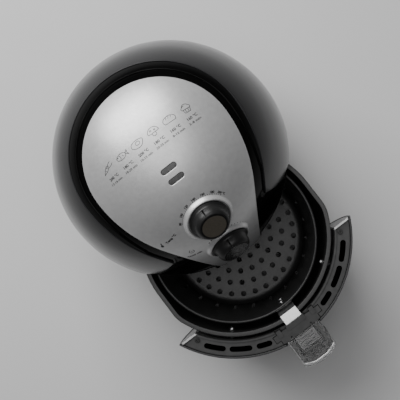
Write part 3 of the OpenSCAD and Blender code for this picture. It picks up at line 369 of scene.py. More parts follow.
def skin(name, surf, loops, thick, bevel=0.8, h=4.0, lift=None, extra=None, steps=4):
    """A closed shell on a surface, cut to loops of points, its edges rounded to bevel.
    lift(points) gives a height along the normal, for raised features, and extra adds points where it
    needs them."""
    raw = [surf.to2d(lp) for lp in loops]
    rims = [edge_rings(surf, lp, raw, thick, bevel, steps) for lp in loops]
    flat = [surf.to2d(rings[0][0]) for rings in rims]
    edge = np.concatenate([rings[0][0] for rings in rims])
    grid_p, grid_q = face_points(surf, edge, flat, h, extra)
    p = np.concatenate([edge, grid_p])
    tri = triangles(np.concatenate(flat + [grid_q]), flat)
    nrm = surf.normal(p)
    some = tri[:200]
    across = np.cross(p[some[:, 1]] - p[some[:, 0]], p[some[:, 2]] - p[some[:, 0]])
    if np.sum(np.sum(across * nrm[some[:, 0]], 1)) < 0:
        tri = tri[:, ::-1]  # faces look along the normal
    top, top_n = (p, nrm) if lift is None else raised(p, nrm, lift)
    verts, norms = [top, p - nrm * thick], [top_n, -nrm]
    back = len(top)
    faces = [list(f) for f in tri]
    faces += [[f[2] + back, f[1] + back, f[0] + back] for f in tri]
    sides = {(f[i], f[(i + 1) % 3]) for f in faces[:len(tri)] for i in range(3)}
    count, base = 2 * back, 0
    for rings, lp in zip(rims, flat):
        m = len(lp)
        ids = [list(range(base, base + m))]
        for k in range(1, len(rings) - 1):
            pts, nn = rings[k]
            if lift is not None and k <= steps:
                pts = pts + surf.normal(pts) * lift(pts)[:, None]
            verts.append(pts)
            norms.append(nn)
            ids.append(list(range(count, count + m)))
            count += m
        ids.append(list(range(back + base, back + base + m)))
        forward = (ids[0][0], ids[0][1]) in sides
        for a, b in zip(ids, ids[1:]):
            for i in range(m):
                j = (i + 1) % m
                faces.append([a[j], a[i], b[i], b[j]] if forward else [a[i], a[j], b[j], b[i]])
        base += m
    return new_object(name, np.concatenate(verts), faces, np.concatenate(norms))


def smooth(ob, sharp):
    """Turns an object's faces outwards and shades it smooth up to edges sharper than sharp degrees."""
    bm = bmesh.new()
    bm.from_mesh(ob.data)
    bmesh.ops.recalc_face_normals(bm, faces=bm.faces)
    for f in bm.faces:
        f.smooth = True
    bm.to_mesh(ob.data)
    bm.free()
    ob.data.set_sharp_from_angle(angle=math.radians(sharp))
    return ob


def lathe(name, outline, y, seg):
    """Turns a closed r-z outline about an upright axis at y."""
    k = len(outline)
    th = np.arange(seg) * 2 * math.pi / seg
    rings = [np.stack([r * np.sin(th), y - r * np.cos(th), np.full(seg, z)], 1) for r, z in outline]
    faces = []
    for i in range(k):
        a, b = i * seg, (i + 1) % k * seg
        faces += [[a + j, a + (j + 1) % seg, b + (j + 1) % seg, b + j] for j in range(seg)]
    return smooth(new_object(name, np.concatenate(rings), faces), 32)


# ---- the body's surface
def body_profile(foot):
    """The body's outline from the top of its dome down to foot, as r, z points."""
    n = 300
    dome = arc(0, Z_DOME, DOME_R, np.linspace(math.pi / 2, JOIN, n))
    side = arc(BODY_R - SIDE_R, Z_WIDE, SIDE_R, np.linspace(JOIN, 0, n)[1:])
    low = -math.asin((Z_WIDE - foot) / LOWER_R)
    lower = arc(BODY_R - LOWER_R, Z_WIDE, LOWER_R, np.linspace(0, low, n)[1:])
    return np.concatenate([dome, side, lower])


PROFILE = body_profile(SHELL_FOOT)


def body_surface(offset=0.0, axis_y=AY):
    return Turned(body_profile(PROFILE_FOOT), offset=offset, centre=(0.0, axis_y))


def radius_at(z):
    return float(np.interp(-z, -PROFILE[:, 1], PROFILE[:, 0]))


def cut_x(z, cut):
    """Half-width of the body at height z in the plane that stands cut in front of its axis."""
    return math.sqrt(radius_at(z) ** 2 - cut ** 2)


def over(plan, surf):
    """Lifts plan points, relative to the axis, onto the upper part of a body surface."""
    plan = np.asarray(plan, float)
    r = np.hypot(plan[:, 0], plan[:, 1])
    top = surf.p[:, 1] >= Z_WIDE
    return surf.at(np.interp(r, surf.p[top, 0], surf.s[top]), np.arctan2(plan[:, 0], -plan[:, 1]))


def at_height(x, z, surf):
    """Front points of a body surface at half-width x and height z."""
    x = np.asarray(x, float)
    z = np.asarray(z, float)
    return surf.at(surf.s_at(z), np.arcsin(np.clip(x / surf.r_at(z), -1, 1)))


def around(surf, z, x0, x1, step=2.0):
    """Front points of a surface at height z from half-width x0 to x1."""
    r = float(surf.r_at(z))
    a0, a1 = math.asin(max(-1, min(1, x0 / r))), math.asin(max(-1, min(1, x1 / r)))
    return surf.level(z, np.linspace(a0, a1, max(2, int(abs(a1 - a0) * r / step)) + 1))


def down_plane(surf, y, z0, z1):
    """Right-hand points of a surface where it meets the plane at y from the axis, 3 mm apart."""
    z = np.linspace(z0, z1, max(2, int(abs(z1 - z0) / 3.0) + 1))
    return surf.at(surf.s_at(z), np.arccos(np.clip(-y / surf.r_at(z), -1, 1)))


def dome_place(tilt):
    """Centre, right, uphill and outward directions of a seat on the dome, tilt degrees from its top."""
    t = math.radians(tilt)
    out = np.array([0.0, -math.sin(t), math.cos(t)])
    hill = np.array([0.0, math.cos(t), math.sin(t)])
    return np.array([0, AY, Z_DOME]) + out * DOME_R, np.array([1.0, 0, 0]), hill, out


def laid(surf, centre, e1, e2, uv):
    """Flat points u, v at a seat, laid on the surface."""
    uv = np.asarray(uv, float)
    return surf.nearest(centre + uv[:, :1] * e1 + uv[:, 1:2] * e2)


def mirror_loop(half):
    """Half outline from the back middle to the front middle, closed with its mirror image."""
    return np.concatenate([half, half[-2:0:-1] * [-1, 1, 1]])


def clean(half):
    """Drops points that fall on the one before."""
    keep = [0]
    for i in range(1, len(half)):
        if np.linalg.norm(half[i] - half[keep[-1]]) > 0.25:
            keep.append(i)
    return half[keep]


# ---- outlines of the casing
# an egg in plan: y of its back circle's centre, that circle's radius, its side's radius, taper in degrees
RING = (-2.0, 97.5, 160.0, 31.8)
PANEL = (-8.0, 82.6, 150.0, 31.8)
CHANNEL = (-5.0, 90.0, 200.0, 30.0)
WEDGE_LOW, WEDGE_TOP, WEDGE_H = 111.0, 63.0, 73.0  # the lid's wedges: half-widths and height
GRILLE_W, GRILLE_Z0, GRILLE_Z1 = 70.0, 171.0, 204.0
GLAND_Z, GLAND_R = 42.0, 7.5


def egg(cy, r, side, taper):
    """Right half of the egg outline from the back to the front, plan points relative to the axis."""
    reach = 170.0
    flank = arc_degrees(r - side, cy, side, 0, -taper)[1:]
    x, y = flank[-1]
    tip = np.array([[x - (reach + y) * math.tan(math.radians(taper)), -reach]])
    return np.concatenate([arc_degrees(0, cy, r, 90, 0), flank, tip])


def egg_line(shape, grow, step):
    """An egg's half outline grown by grow, its points step apart."""
    cy, r, side, taper = shape
    return resample(egg(cy, r + grow, side + grow, taper), step, closed=False, keep=ANY_CORNER)


def egg_distance(p, cy, r, side, taper):
    """Signed distance from the egg outline in plan, below zero inside."""
    x, y = np.abs(p[:, 0]), p[:, 1]
    t = math.radians(taper)
    cx = r - side
    ex, ey = cx + side * math.cos(t), cy - side * math.sin(t)
    back = np.hypot(x, y - cy) - r
    arc = np.hypot(x - cx, y - cy) - side
    line = (x - ex) * math.cos(t) - (y - ey) * math.sin(t)
    ang = np.arctan2(cy - y, x - cx)
    return np.where(y >= cy, back, np.where(ang < t, arc, line))


def wedge_x(z, inset=0.0):
    return WEDGE_LOW - inset - (WEDGE_LOW - WEDGE_TOP) * (z - OPEN_Z) / WEDGE_H


def ring_to_wedge(surf, inset):
    """The ring's edge from the back, then the wedge's slanted edge down to the opening's height."""
    ring = over(egg_line(RING, -inset, 2.0), surf)
    in_front = ring[:, 1] < surf.c[1]
    on_wedge = (ring[:, 2] < OPEN_Z + WEDGE_H) & (ring[:, 0] < wedge_x(ring[:, 2], inset))
    stop = np.where(in_front & on_wedge)[0]
    ring = ring[:stop[0]] if len(stop) else ring
    z = np.linspace(min(ring[-1, 2] - 0.8, OPEN_Z + WEDGE_H - 0.8), OPEN_Z, 26)
    edge = np.concatenate([at_height([wedge_x(q, inset)], [q], surf) for q in z])
    return np.concatenate([ring, edge])


# ---- casing
def grille_opening(surf):
    """The rear grille's opening, a rectangle laid on the back of the shell."""
    w = GRILLE_W / 2
    x = np.linspace(-w, w, 36)
    z = np.linspace(GRILLE_Z0, GRILLE_Z1, 18)[1:-1]
    loop = np.concatenate([at_height(x, GRILLE_Z0, surf), at_height(w, z, surf),
                           at_height(x[::-1], GRILLE_Z1, surf), at_height(-w, z[::-1], surf)])
    loop[:, 1] = 2 * AY - loop[:, 1]
    return loop


def gland_opening(surf):
    t = math.asin((Z_WIDE - GLAND_Z) / LOWER_R)
    outward = np.array([0, math.cos(t), -math.sin(t)])
    e1 = np.array([1.0, 0, 0])
    place = np.array([0, AY + radius_at(GLAND_Z), GLAND_Z])
    return laid(surf, place, e1, np.cross(outward, e1), circle(GLAND_R + GAP, 40))


def make_body_shell():
    surf = body_surface()
    half = np.concatenate([ring_to_wedge(surf, 0.0),
                           around(surf, OPEN_Z, WEDGE_LOW, cut_x(OPEN_Z, FRONT_CUT))[1:],
                           down_plane(surf, -FRONT_CUT, OPEN_Z, SILL_Z)[1:],
                           around(surf, SILL_Z, cut_x(SILL_Z, FRONT_CUT), 0.0)[1:]])
    foot = surf.level(SHELL_FOOT, np.linspace(0, 2 * math.pi, 300, endpoint=False))
    loops = [foot, mirror_loop(clean(half)), grille_opening(surf), gland_opening(surf)]
    return skin("body_shell_smooth", surf, loops, SHELL_T, bevel=0.7, h=5.0)


CHANNEL_FRONT = -92.0  # where the lid's channel ends in front, y from the axis
CHANNEL_TOP, CHANNEL_DEEP = 0.8, 6.0  # the lid's face lies a little low, its channel deep
CHANNEL_FADE = 0.7  # half-width of the slope between them


def channel_drop(p):
    """Depth of the lid's dark channel under the dome, as a negative height."""
    q = p[:, :2] - np.array([0, AY])
    d = np.minimum(egg_distance(q, *CHANNEL), q[:, 1] - CHANNEL_FRONT)
    t = np.clip((CHANNEL_FADE - d) / (2 * CHANNEL_FADE), 0, 1)
    return -CHANNEL_TOP - (CHANNEL_DEEP - CHANNEL_TOP) * t * t * (3 - 2 * t)


def channel_points():
    """Extra plan points close to the channel's edge."""
    lines = []
    for g in np.linspace(-1.2, 1.2, 9):
        line = egg_line(CHANNEL, g, 1.3)
        line = line[line[:, 1] > CHANNEL_FRONT - 0.5]
        x = np.arange(-104, 104.1, 1.3)
        lines += [line, line * [-1, 1], np.stack([x, np.full(len(x), CHANNEL_FRONT + g)], 1)]
    plan = np.concatenate(lines)
    return plan[np.hypot(plan[:, 0], plan[:, 1]) < radius_at(OPEN_Z + 8) - 1]


def make_bezel():
    surf = body_surface()
    half = np.concatenate([ring_to_wedge(surf, GAP), around(surf, OPEN_Z, WEDGE_LOW - GAP, 0.0)[1:]])
    under_panel, foot = 7.4, OPEN_Z + 6
    low = over(egg_line(PANEL, -under_panel, 2.5), surf)
    low = low[low[:, 2] > foot]
    low = np.concatenate([low, around(surf, foot, low[-1, 0], 0.0)[1:]])
    loops = [mirror_loop(clean(half)), mirror_loop(clean(low))]
    return skin("lid_bezel_smooth", surf, loops, 2.5, bevel=0.6, h=3.0, lift=channel_drop,
                extra=over(channel_points(), surf))


COLLAR_IN, COLLAR_TOP, COLLAR_OUT = 23.0, 24.0, 28.0  # radii of the dials' soft collars
COLLARS = ((DIAL_TILT, 2.4), (TIMER_TILT, 1.5))  # each dial's seat and its collar's height
COLLAR_RADII = (22.6, 22.8, 22.95, 23.1, 23.3, 23.7, 24.2, 24.8, 25.3, 25.9, 26.5, 27.1, 27.7, 28.2, 28.9)
SPINDLE_HOLE = 4.2
LAMP_W, LAMP_H = 17.6, 5.2


def ease(t):
    return t * t * (3 - 2 * t)


def collar_lift(p):
    """Height of the soft collars round the dials above the panel."""
    h = np.zeros(len(p))
    for tilt, high in COLLARS:
        c, right, hill, out = dome_place(tilt)
        q = p - c
        rho = np.hypot(q @ right, q @ hill)
        w = q @ out
        rise = np.clip((rho - (COLLAR_IN - 0.25)) / 0.5, 0, 1)
        fall = np.clip((COLLAR_OUT - rho) / (COLLAR_OUT - COLLAR_TOP), 0, 1)
        top = np.clip(high - w, 0, 6)
        h = np.maximum(h, np.where(w > -20, top * (ease(rise) * ease(fall)), 0))
    return h


def stadium(w, h, grow, n=12):
    """A slot's outline: w long, h high, grown by grow."""
    r = h / 2 + grow
    c = (w - h) / 2
    right = arc(c, 0, r, np.radians(np.linspace(-90, 90, n)))
    x = np.linspace(c, -c, 6)[1:-1]
    half = np.concatenate([right, np.stack([x, np.full(len(x), r)], 1)])
    return np.concatenate([half, -half])


def make_panel():
    surf = body_surface(PANEL_RISE)
    tip_z = OPEN_Z + 1.2
    curve = over(egg_line(PANEL, 0.0, 1.5), surf)
    curve = curve[curve[:, 2] > tip_z + 0.6]
    half = np.concatenate([curve, around(surf, tip_z, curve[-1, 0], 0.0, 1.5)])
    loops, extra = [mirror_loop(clean(half))], []
    for tilt in (DIAL_TILT, TIMER_TILT):
        seat = dome_place(tilt)[:3]
        loops.append(laid(surf, *seat, circle(SPINDLE_HOLE, 32)))
        extra += [laid(surf, *seat, circle(rho, 110)) for rho in COLLAR_RADII]
    for tilt in LAMP_TILTS:
        loops.append(laid(surf, *dome_place(tilt)[:3], stadium(LAMP_W, LAMP_H, 0.3)))
    return skin("control_panel_smooth", surf, loops, 6.4, bevel=0.8, h=3.5, lift=collar_lift,
                extra=np.concatenate(extra))


def make_drawer_front():
    surf = body_surface(axis_y=DY)
    top, low, cut = 165.2, SILL_Z + 1, FRONT_CUT + 1.0
    notch, notch_z = 23.7, 141.0  # the notch under the handle: half-width and floor
    half = np.concatenate([
        at_height([0.0], notch_z, surf),
        around(surf, notch_z, 0.0, notch)[1:],
        at_height(notch, np.linspace(notch_z, top, 12), surf)[1:],
        around(surf, top, notch, cut_x(top, cut))[1:],
        down_plane(surf, -cut, top, low)[1:],
        around(surf, low, cut_x(low, cut), 0.0)[1:]])
    return skin("drawer_front_smooth", surf, [mirror_loop(clean(half))], SHELL_T, bevel=0.7, h=5.0)


# ---- pan and basket
PAN_R, PAN_FRONT_R, PAN_CORNER_R = 111.0, 117.0, 40.0
PAN_CENTRE = 2.0  # centre of the front curve, behind the drawer's axis
PAN_TOP, PAN_LOW = 158.0, 22.1
PAN_RIM, PAN_T, PAN_LIP = 4.2, 1.2, 6.0
PAN_TAPER, PAN_ROUND = 7.7, 12.5
BASKET_TOP, BASKET_LOW, BASKET_T = 161.0, 45.0, 1.2
BASKET_WALL, BASKET_TAPER, BEAD_R = 97.1, 8.0, 1.8
HOLE_R, HOLE_PITCH, HOLE_RINGS = 3.2, 15, 6
SLOT_LONG, SLOT_WIDE, SLOTS = 26.0, 4.0, 24
VANES, VANE_SIZE, VANE_OUT = 6, (62, 3, 6.2), 39


def pan_ring(g, z):
    """The pan's outline grown by g at height z, with as many points for every g."""
    reach = PAN_FRONT_R - PAN_CORNER_R
    corner_x = PAN_R - PAN_CORNER_R
    corner = -math.acos(corner_x / reach)
    corner_y = PAN_CENTRE + reach * math.sin(corner)
    front = arc(0, PAN_CENTRE, PAN_FRONT_R + g, np.linspace(-math.pi / 2, corner, 40)[:-1])
    bend = arc(corner_x, corner_y, PAN_CORNER_R + g, np.linspace(corner, 0, 14))
    y = np.linspace(corner_y, 0, 9)[1:-1]
    side = np.stack([np.full(len(y), PAN_R + g), y], 1)
    back = arc(0, 0, PAN_R + g, np.linspace(0, math.pi / 2, 48))
    right = np.concatenate([front, bend, side, back])
    plan = np.concatenate([right, right[1:-1][::-1] * [-1, 1]])
    return np.column_stack([plan + [0, DY], np.full(len(plan), z)])


def rounded(path):
    """An open outline of (x, z, radius) corners with the corners turned into curves."""
    p = np.array([q[:2] for q in path], float)
    out = [p[0]]
    for i in range(1, len(p) - 1):
        u = p[i - 1] - p[i]
        v = p[i + 1] - p[i]
        long_u, long_v = np.linalg.norm(u), np.linalg.norm(v)
        half = math.acos(float(np.dot(u, v) / long_u / long_v)) / 2
        d = min(path[i][2] / math.tan(half), 0.48 * long_u, 0.48 * long_v)
        a = p[i] + u / long_u * d
        b = p[i] + v / long_v * d
        for t in np.linspace(0, 1, 7):
            out.append((1 - t) ** 2 * a + 2 * t * (1 - t) * p[i] + t * t * b)
    return np.array(out + [p[-1]])


def loft(name, rings):
    """Skins a list of rings with equal counts, and closes its first and last ring with a fan."""
    m = len(rings[0])
    faces = []
    for k in range(len(rings) - 1):
        a, b = k * m, (k + 1) * m
        faces += [[a + i, a + (i + 1) % m, b + (i + 1) % m, b + i] for i in range(m)]
    hub = len(rings) * m
    far = (len(rings) - 1) * m
    faces += [[i, hub, (i + 1) % m] for i in range(m)]
    faces += [[far + (i + 1) % m, hub + 1, far + i] for i in range(m)]
    ob = new_object(name, np.concatenate(rings + [[rings[0].mean(0), rings[-1].mean(0)]]), faces)
    return smooth(ob, 35)


def rounded_bar(name, size, place, turn):
    """A bar with rounded edges, size and place in mm."""
    bm = bmesh.new()
    bmesh.ops.create_cube(bm, size=1.0)
    bmesh.ops.scale(bm, vec=size, verts=bm.verts)
    bmesh.ops.bevel(bm, geom=list(bm.edges), offset=0.8, segments=3, affect="EDGES", profile=0.5)
    bmesh.ops.transform(bm, matrix=Matrix.Translation(place) @ Matrix.Rotation(turn, 4, "Z"), verts=bm.verts)
    bm.verts.ensure_lookup_table()
    verts = np.array([list(v.co) for v in bm.verts])
    faces = [[v.index for v in f.verts] for f in bm.faces]
    bm.free()
    return smooth(new_object(name, verts, faces), 40)


def make_pan():
    """The pan with its rolled rim, and the low vanes on its floor that spread the air."""
    wall = -PAN_RIM
    foot = wall - PAN_TAPER
    start = foot - 14.0
    low_in = PAN_LOW + PAN_T
    lip = PAN_TOP - PAN_LIP
    within = rounded([(start, low_in, 0), (foot - PAN_T, low_in, PAN_ROUND - PAN_T),
                      (wall - PAN_T, PAN_TOP, 1.0), (0, PAN_TOP, 1.0), (0, lip, 0)])
    outside = rounded([(-PAN_T, lip, 0), (-PAN_T, PAN_TOP - PAN_T, 0.5), (wall, PAN_TOP - PAN_T, 0.5),
                       (foot, PAN_LOW, PAN_ROUND), (start, PAN_LOW, 0)])
    pieces = [loft("pan_bowl", [pan_ring(g, z) for g, z in np.concatenate([within, outside])])]
    for k in range(VANES):
        a = math.radians(360 / VANES * k)
        place = (VANE_OUT * math.cos(a), DY + VANE_OUT * math.sin(a), PAN_LOW + 3.9)
        pieces.append(rounded_bar("vane", VANE_SIZE, place, a))
    return join("pan_smooth", pieces)


def basket_holes(surf, floor_z):
    """Round holes in rings on the basket's floor and a row of upright slots in its wall."""
    loops = []
    hole = circle(HOLE_R, 18)
    for ring in range(HOLE_RINGS):
        count = max(1, 6 * ring)
        for i in range(count):
            t = 2 * math.pi * i / count
            out = HOLE_PITCH * ring
            plan = hole + [out * math.cos(t), out * math.sin(t)] + [0, DY]
            loops.append(surf.nearest(np.column_stack([plan, np.full(len(plan), floor_z)])))
    slot = stadium(SLOT_LONG, SLOT_WIDE, 0.0, 7)
    z = BASKET_LOW + 25.0 + slot[:, 0]
    rising = surf.p[:, 1] > floor_z + 8
    s = np.interp(z, surf.p[rising, 1], surf.s[rising])
    r = np.interp(z, surf.p[rising, 1], surf.p[rising, 0])
    for i in range(SLOTS):
        loops.append(surf.at(s, math.radians(360 / SLOTS * i + 97.5) + slot[:, 1] / r))
    return loops


def make_basket():
    floor_z = BASKET_LOW + BASKET_T
    top_r = BASKET_WALL - BASKET_T
    foot_r = top_r - BASKET_TAPER + 0.6
    bend = 9.0
    foot = arc(foot_r - bend, floor_z + bend, bend, np.radians(np.linspace(-90, -4, 24)))
    wall = np.linspace(foot[-1], (top_r, BASKET_TOP - BEAD_R), 60)[1:]
    floor_line = np.linspace((0.0, floor_z), foot[0], 60)[:-1]
    surf = Turned(np.concatenate([floor_line, foot, wall]), centre=(0.0, DY))
    rim = surf.at(surf.s[-1] - 0.2, np.linspace(0, 2 * math.pi, 220, endpoint=False))
    loops = [rim] + basket_holes(surf, floor_z)
    bowl = skin("basket_bowl", surf, loops, BASKET_T, bevel=0.4, h=5.0, steps=2)
    bead = circle(BEAD_R, 20) + [BASKET_WALL + BEAD_R / 3, BASKET_TOP - BEAD_R]
    return join("basket_smooth", [bowl, lathe("basket_bead", bead, DY, 200)])


shell = make_body_shell()
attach(shell, "body")
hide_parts("body_shell")
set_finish(shell, "gloss_black")
bezel = make_bezel()
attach(bezel, "body")
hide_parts("lid_bezel")
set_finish(bezel, "gloss_black_lid")
panel = make_panel()
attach(panel, "body")
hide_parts("control_panel")
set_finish(panel, "silver_panel")
front = make_drawer_front()
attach(front, "drawer")
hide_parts("drawer_front")
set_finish(front, "gloss_black")
pan = make_pan()
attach(pan, "drawer")
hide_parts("pan")
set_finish(pan, "pan_coating")
basket = make_basket()
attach(basket, "basket")
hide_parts("basket")
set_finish(basket, "pan_coating")


# ---- node trees
def plug(tree, node, inputs):
    """Sets a node's inputs: each to a constant, or to another node's output."""
    for name, value in inputs.items():
        socket = node.inputs[name.replace("_", " ")]
        if isinstance(value, bpy.types.NodeSocket):
            tree.links.new(value, socket)
        else:
            socket.default_value = value


def add_node(tree, kind, **inputs):
    node = tree.nodes.new(kind)
    plug(tree, node, inputs)
    return node


# ---- CAD nodes that stay: softened edges
def smoothing_group():
    """Geometry nodes that join the CAD mesh's split corners and shade it smooth up to its real edges."""
    g = bpy.data.node_groups.new("soft_edges", "GeometryNodeTree")
    for way in ("INPUT", "OUTPUT"):
        g.interface.new_socket("Geometry", in_out=way, socket_type="NodeSocketGeometry")
    start = g.nodes.new("NodeGroupInput")
    merge = add_node(g, "GeometryNodeMergeByDistance", Geometry=start.outputs[0], Distance=1e-6)
    shade = add_node(g, "GeometryNodeSetShadeSmooth", Geometry=merge.outputs[0])
    g.links.new(shade.outputs[0], g.nodes.new("NodeGroupOutput").inputs[0])
    return g


SOFT = smoothing_group()
EDGE = 0.3  # width of a CAD node's rounded edges, mm, where EDGES names no other
EDGES = {"drawer_frame": 0.6, "handle_core": 0.55, "handle_cover": 0.8, "button_guard": 0.5,
         "release_button": 0.6, "basket": 0.35, "temperature_dial": 0.35, "timer_dial": 0.35,
         "button_spring": 0.05, "thermostat_bulb": 0.05, "heating_element": 0.1}


def soften(node, width):
    """Rounds a CAD node's edges by width mm without touching its mesh."""
    ob = N[node]
    ob.modifiers.new("soft", "NODES").node_group = SOFT
    b = ob.modifiers.new("bevel", "BEVEL")
    b.width = width * MM
    b.segments = 2
    b.limit_method = "ANGLE"
    b.angle_limit = math.radians(34.0)
    b.use_clamp_overlap = True
    b.harden_normals = False
    b.miter_outer = "MITER_ARC"
    wn = ob.modifiers.new("normals", "WEIGHTED_NORMAL")
    wn.mode = "FACE_AREA_WITH_ANGLE"
    wn.keep_sharp = False


for node in N:
    soften(node, EDGES.get(node, EDGE))


# ---- materials
def rgba(v):
    """A colour with its alpha. One number stands for a neutral grey."""
    return (*v, 1) if isinstance(v, tuple) else (v, v, v, 1)


def to_black(tree, colour, amount, black):
    """Mixes a colour towards a near-black as amount, a node's output, goes from 0 to 1."""
    mix = tree.nodes.new("ShaderNodeMix")
    mix.data_type = "RGBA"
    plug(tree, mix, {"Factor": amount, "A": colour, "B": rgba(black)})
    return mix.outputs["Result"]


def darker_crevices(tree, colour, reach):
    """Painted shade: darkens a colour in gaps narrower than about reach mm, found by ambient occlusion."""
    near = add_node(tree, "ShaderNodeAmbientOcclusion", Distance=reach * MM)
    near.samples = 8
    # painted shade: full where ambient occlusion finds a tight gap, none where the surface is open
    painted_shade = add_node(tree, "ShaderNodeMapRange", Value=near.outputs["AO"], From_Min=0.5, From_Max=0.95,
                     To_Min=1.0, To_Max=0.0)
    return to_black(tree, colour, painted_shade.outputs["Result"], 0.001)


def material(name, dark, light, rough, scale, bump, grain=900.0, metal=0.0, depth=0.0002, vary=0.08,
             coat=0.0, stretch=(1, 1, 1), specular=0.5, detail=4.0, transmission=0.0, ior=1.5, alpha=1.0,
             crevice=0.0):
    """A finish: a colour that drifts between dark and light in patches of the given scale, uneven gloss
    round its roughness, and a fine relief of strength bump whose grain is finer the higher the number."""
    m = bpy.data.materials.new(name)
    m.use_nodes = True
    t = m.node_tree
    place = add_node(t, "ShaderNodeTexCoord").outputs["Object"]
    at = add_node(t, "ShaderNodeMapping", Vector=place, Scale=stretch).outputs["Vector"]

    def noise(size, octaves):
        return add_node(t, "ShaderNodeTexNoise", Vector=at, Scale=size, Detail=octaves).outputs["Fac"]

    ramp = add_node(t, "ShaderNodeValToRGB", Fac=noise(scale, detail))
    for element, at_place, colour in zip(ramp.color_ramp.elements, (0.3, 0.7), (dark, light)):
        element.position = at_place
        element.color = rgba(colour)
    colour = ramp.outputs["Color"]
    # painted shade: the colour darkened by ambient occlusion in gaps narrower than the given width
    if crevice:
        colour = darker_crevices(t, colour, crevice)
    gloss = add_node(t, "ShaderNodeMapRange", Value=noise(scale * 3.1, 2.0), From_Min=0.3, From_Max=0.7,
                     To_Min=max(0.02, rough - vary), To_Max=min(1.0, rough + vary))
    relief = add_node(t, "ShaderNodeBump", Height=noise(grain, 2.0), Strength=bump, Distance=depth)
    plug(t, t.nodes["Principled BSDF"], {
        "Base Color": colour, "Roughness": gloss.outputs["Result"], "Normal": relief.outputs["Normal"],
        "Metallic": metal, "Coat Weight": coat, "Coat Roughness": 0.3 if coat else 0.05, "IOR": ior,
        "Specular IOR Level": specular, "Transmission Weight": transmission, "Alpha": alpha})
    return m


FINISH = {}


def finish(name, *values, **more):
    FINISH[name] = material(name, *values, **more)


# Each finish: name, dark and light colour, roughness, scale of its patches, relief, its grain, metal.
def casing_finishes():
    finish("gloss_black", (0.013, 0.013, 0.014), (0.018, 0.018, 0.019), 0.17, 14, 0.03, 1400, vary=0.03,
           specular=0.3)
    finish("gloss_black_lid", 0.002, 0.003, 0.12, 20, 0.02, 1400, vary=0.03, specular=0.08)
    finish("silver_panel", 0.60, 0.66, 0.40, 180, 0.12, 3500, 0.55, depth=0.00005, vary=0.05, detail=6)
    finish("lamp_lens", 0.060, 0.080, 0.35, 200, 0.3, 1800)
    finish("dial_black", 0.011, 0.015, 0.40, 60, 0.06, 1500, specular=0.4, vary=0.04)
    finish("dial_cap", (0.088, 0.077, 0.061), (0.108, 0.095, 0.076), 0.42, 500, 0.12, 3000, 0.3,
           depth=0.00005)
    finish("timer_cap", 0.012, 0.020, 0.22, 300, 0.05, 3000, depth=0.00005)
    finish("black_plastic", 0.022, 0.032, 0.55, 80, 0.35, 1600)
    finish("rubber", 0.016, 0.026, 0.8, 120, 0.4)


def drawer_finishes():
    finish("pan_coating", 0.016, 0.024, 0.42, 500, 0.3, 1800, coat=0.15)
    # the frame and handle plastics carry painted shade in their narrow gaps
    finish("frame_plastic", 0.030, 0.040, 0.50, 60, 0.25, 1800, crevice=2.0)
    finish("handle_plastic", 0.024, 0.034, 0.50, 60, 0.25, 1700, crevice=2.0)
    finish("button_plastic", 0.060, 0.080, 0.45, 80, 0.2)
    finish("silver_cover", 0.60, 0.64, 0.36, 40, 0.04, 2200, 0.55, depth=0.00003, vary=0.03)
    finish("clear_guard", 0.86, 0.92, 0.07, 70, 0.02, transmission=1.0, ior=1.45, vary=0.02, alpha=0.5)
    finish("satin_metal", 0.35, 0.42, 0.35, 120, 0.15, metal=0.9, stretch=(1, 1, 0.2))
    finish("stainless", 0.80, 0.85, 0.34, 900, 0.08, 1800, 1, stretch=(1, 0.06, 0.06), vary=0.03)
    finish("spring_steel", 0.55, 0.7, 0.25, 300, 0.1, metal=1)


def inner_metals():
    finish("black_screw", 0.02, 0.03, 0.4, 300, 0.2, 2500, 0.6)
    finish("zinc_screw", 0.50, 0.62, 0.30, 300, 0.2, 2500, 1, stretch=(1, 6, 1))
    finish("liner_steel", 0.045, 0.07, 0.45, 40, 0.15, 1200, 0.4)
    finish("aluminised_steel", (0.46, 0.47, 0.49), (0.60, 0.61, 0.62), 0.38, 90, 0.25, 700, 1,
           stretch=(1, 1, 0.25))
    finish("element_sheath", (0.12, 0.10, 0.09), (0.27, 0.23, 0.20), 0.5, 150, 0.3, metal=0.9)
    finish("wire_steel", 0.62, 0.75, 0.22, 200, 0.1, metal=1)
    finish("zinc_plate", (0.48, 0.49, 0.50), (0.62, 0.62, 0.60), 0.36, 110, 0.2, 800, 1)
    finish("lamination", (0.16, 0.17, 0.19), (0.26, 0.27, 0.30), 0.5, 400, 0.6, 1500, 0.8,
           stretch=(0.2, 0.2, 4))
    finish("copper_winding", (0.30, 0.09, 0.03), (0.62, 0.25, 0.09), 0.35, 500, 0.9, 1500, 0.8,
           stretch=(1, 1, 3), depth=0.0004)
    finish("bearing_bronze", (0.42, 0.30, 0.13), (0.62, 0.47, 0.24), 0.4, 500, 0.3, metal=1)
    finish("copper_tube", (0.50, 0.22, 0.10), (0.74, 0.40, 0.24), 0.33, 160, 0.15, metal=1)
    finish("shaft_steel", 0.50, 0.66, 0.24, 300, 0.15, metal=1, stretch=(1, 1, 6))


def inner_plastics():
    finish("slide_plastic", 0.05, 0.07, 0.45, 100, 0.2)
    finish("insulation", (0.62, 0.60, 0.53), (0.82, 0.80, 0.74), 0.95, 240, 0.9, 500, depth=0.0006)
    finish("cream_plastic", (0.66, 0.62, 0.53), (0.76, 0.73, 0.65), 0.5, 70, 0.2)
    finish("circuit_board", (0.015, 0.09, 0.04), (0.03, 0.16, 0.08), 0.45, 300, 0.2)
    finish("switch_plastic", 0.03, 0.045, 0.5, 150, 0.2)
    finish("plunger_plastic", (0.42, 0.02, 0.02), (0.55, 0.05, 0.04), 0.45, 200, 0.15)


def wear(node, name):
    for slot in N[node].material_slots:
        slot.material = FINISH[name]


CAP_UP, CAP_RING = 14.8, 13.2  # top of a dial's cap above the dome, and radius of its bare face
CAPS = (("temperature_dial_cap", DIAL_TILT, "dial_cap"), ("timer_dial_cap", TIMER_TILT, "timer_cap"))


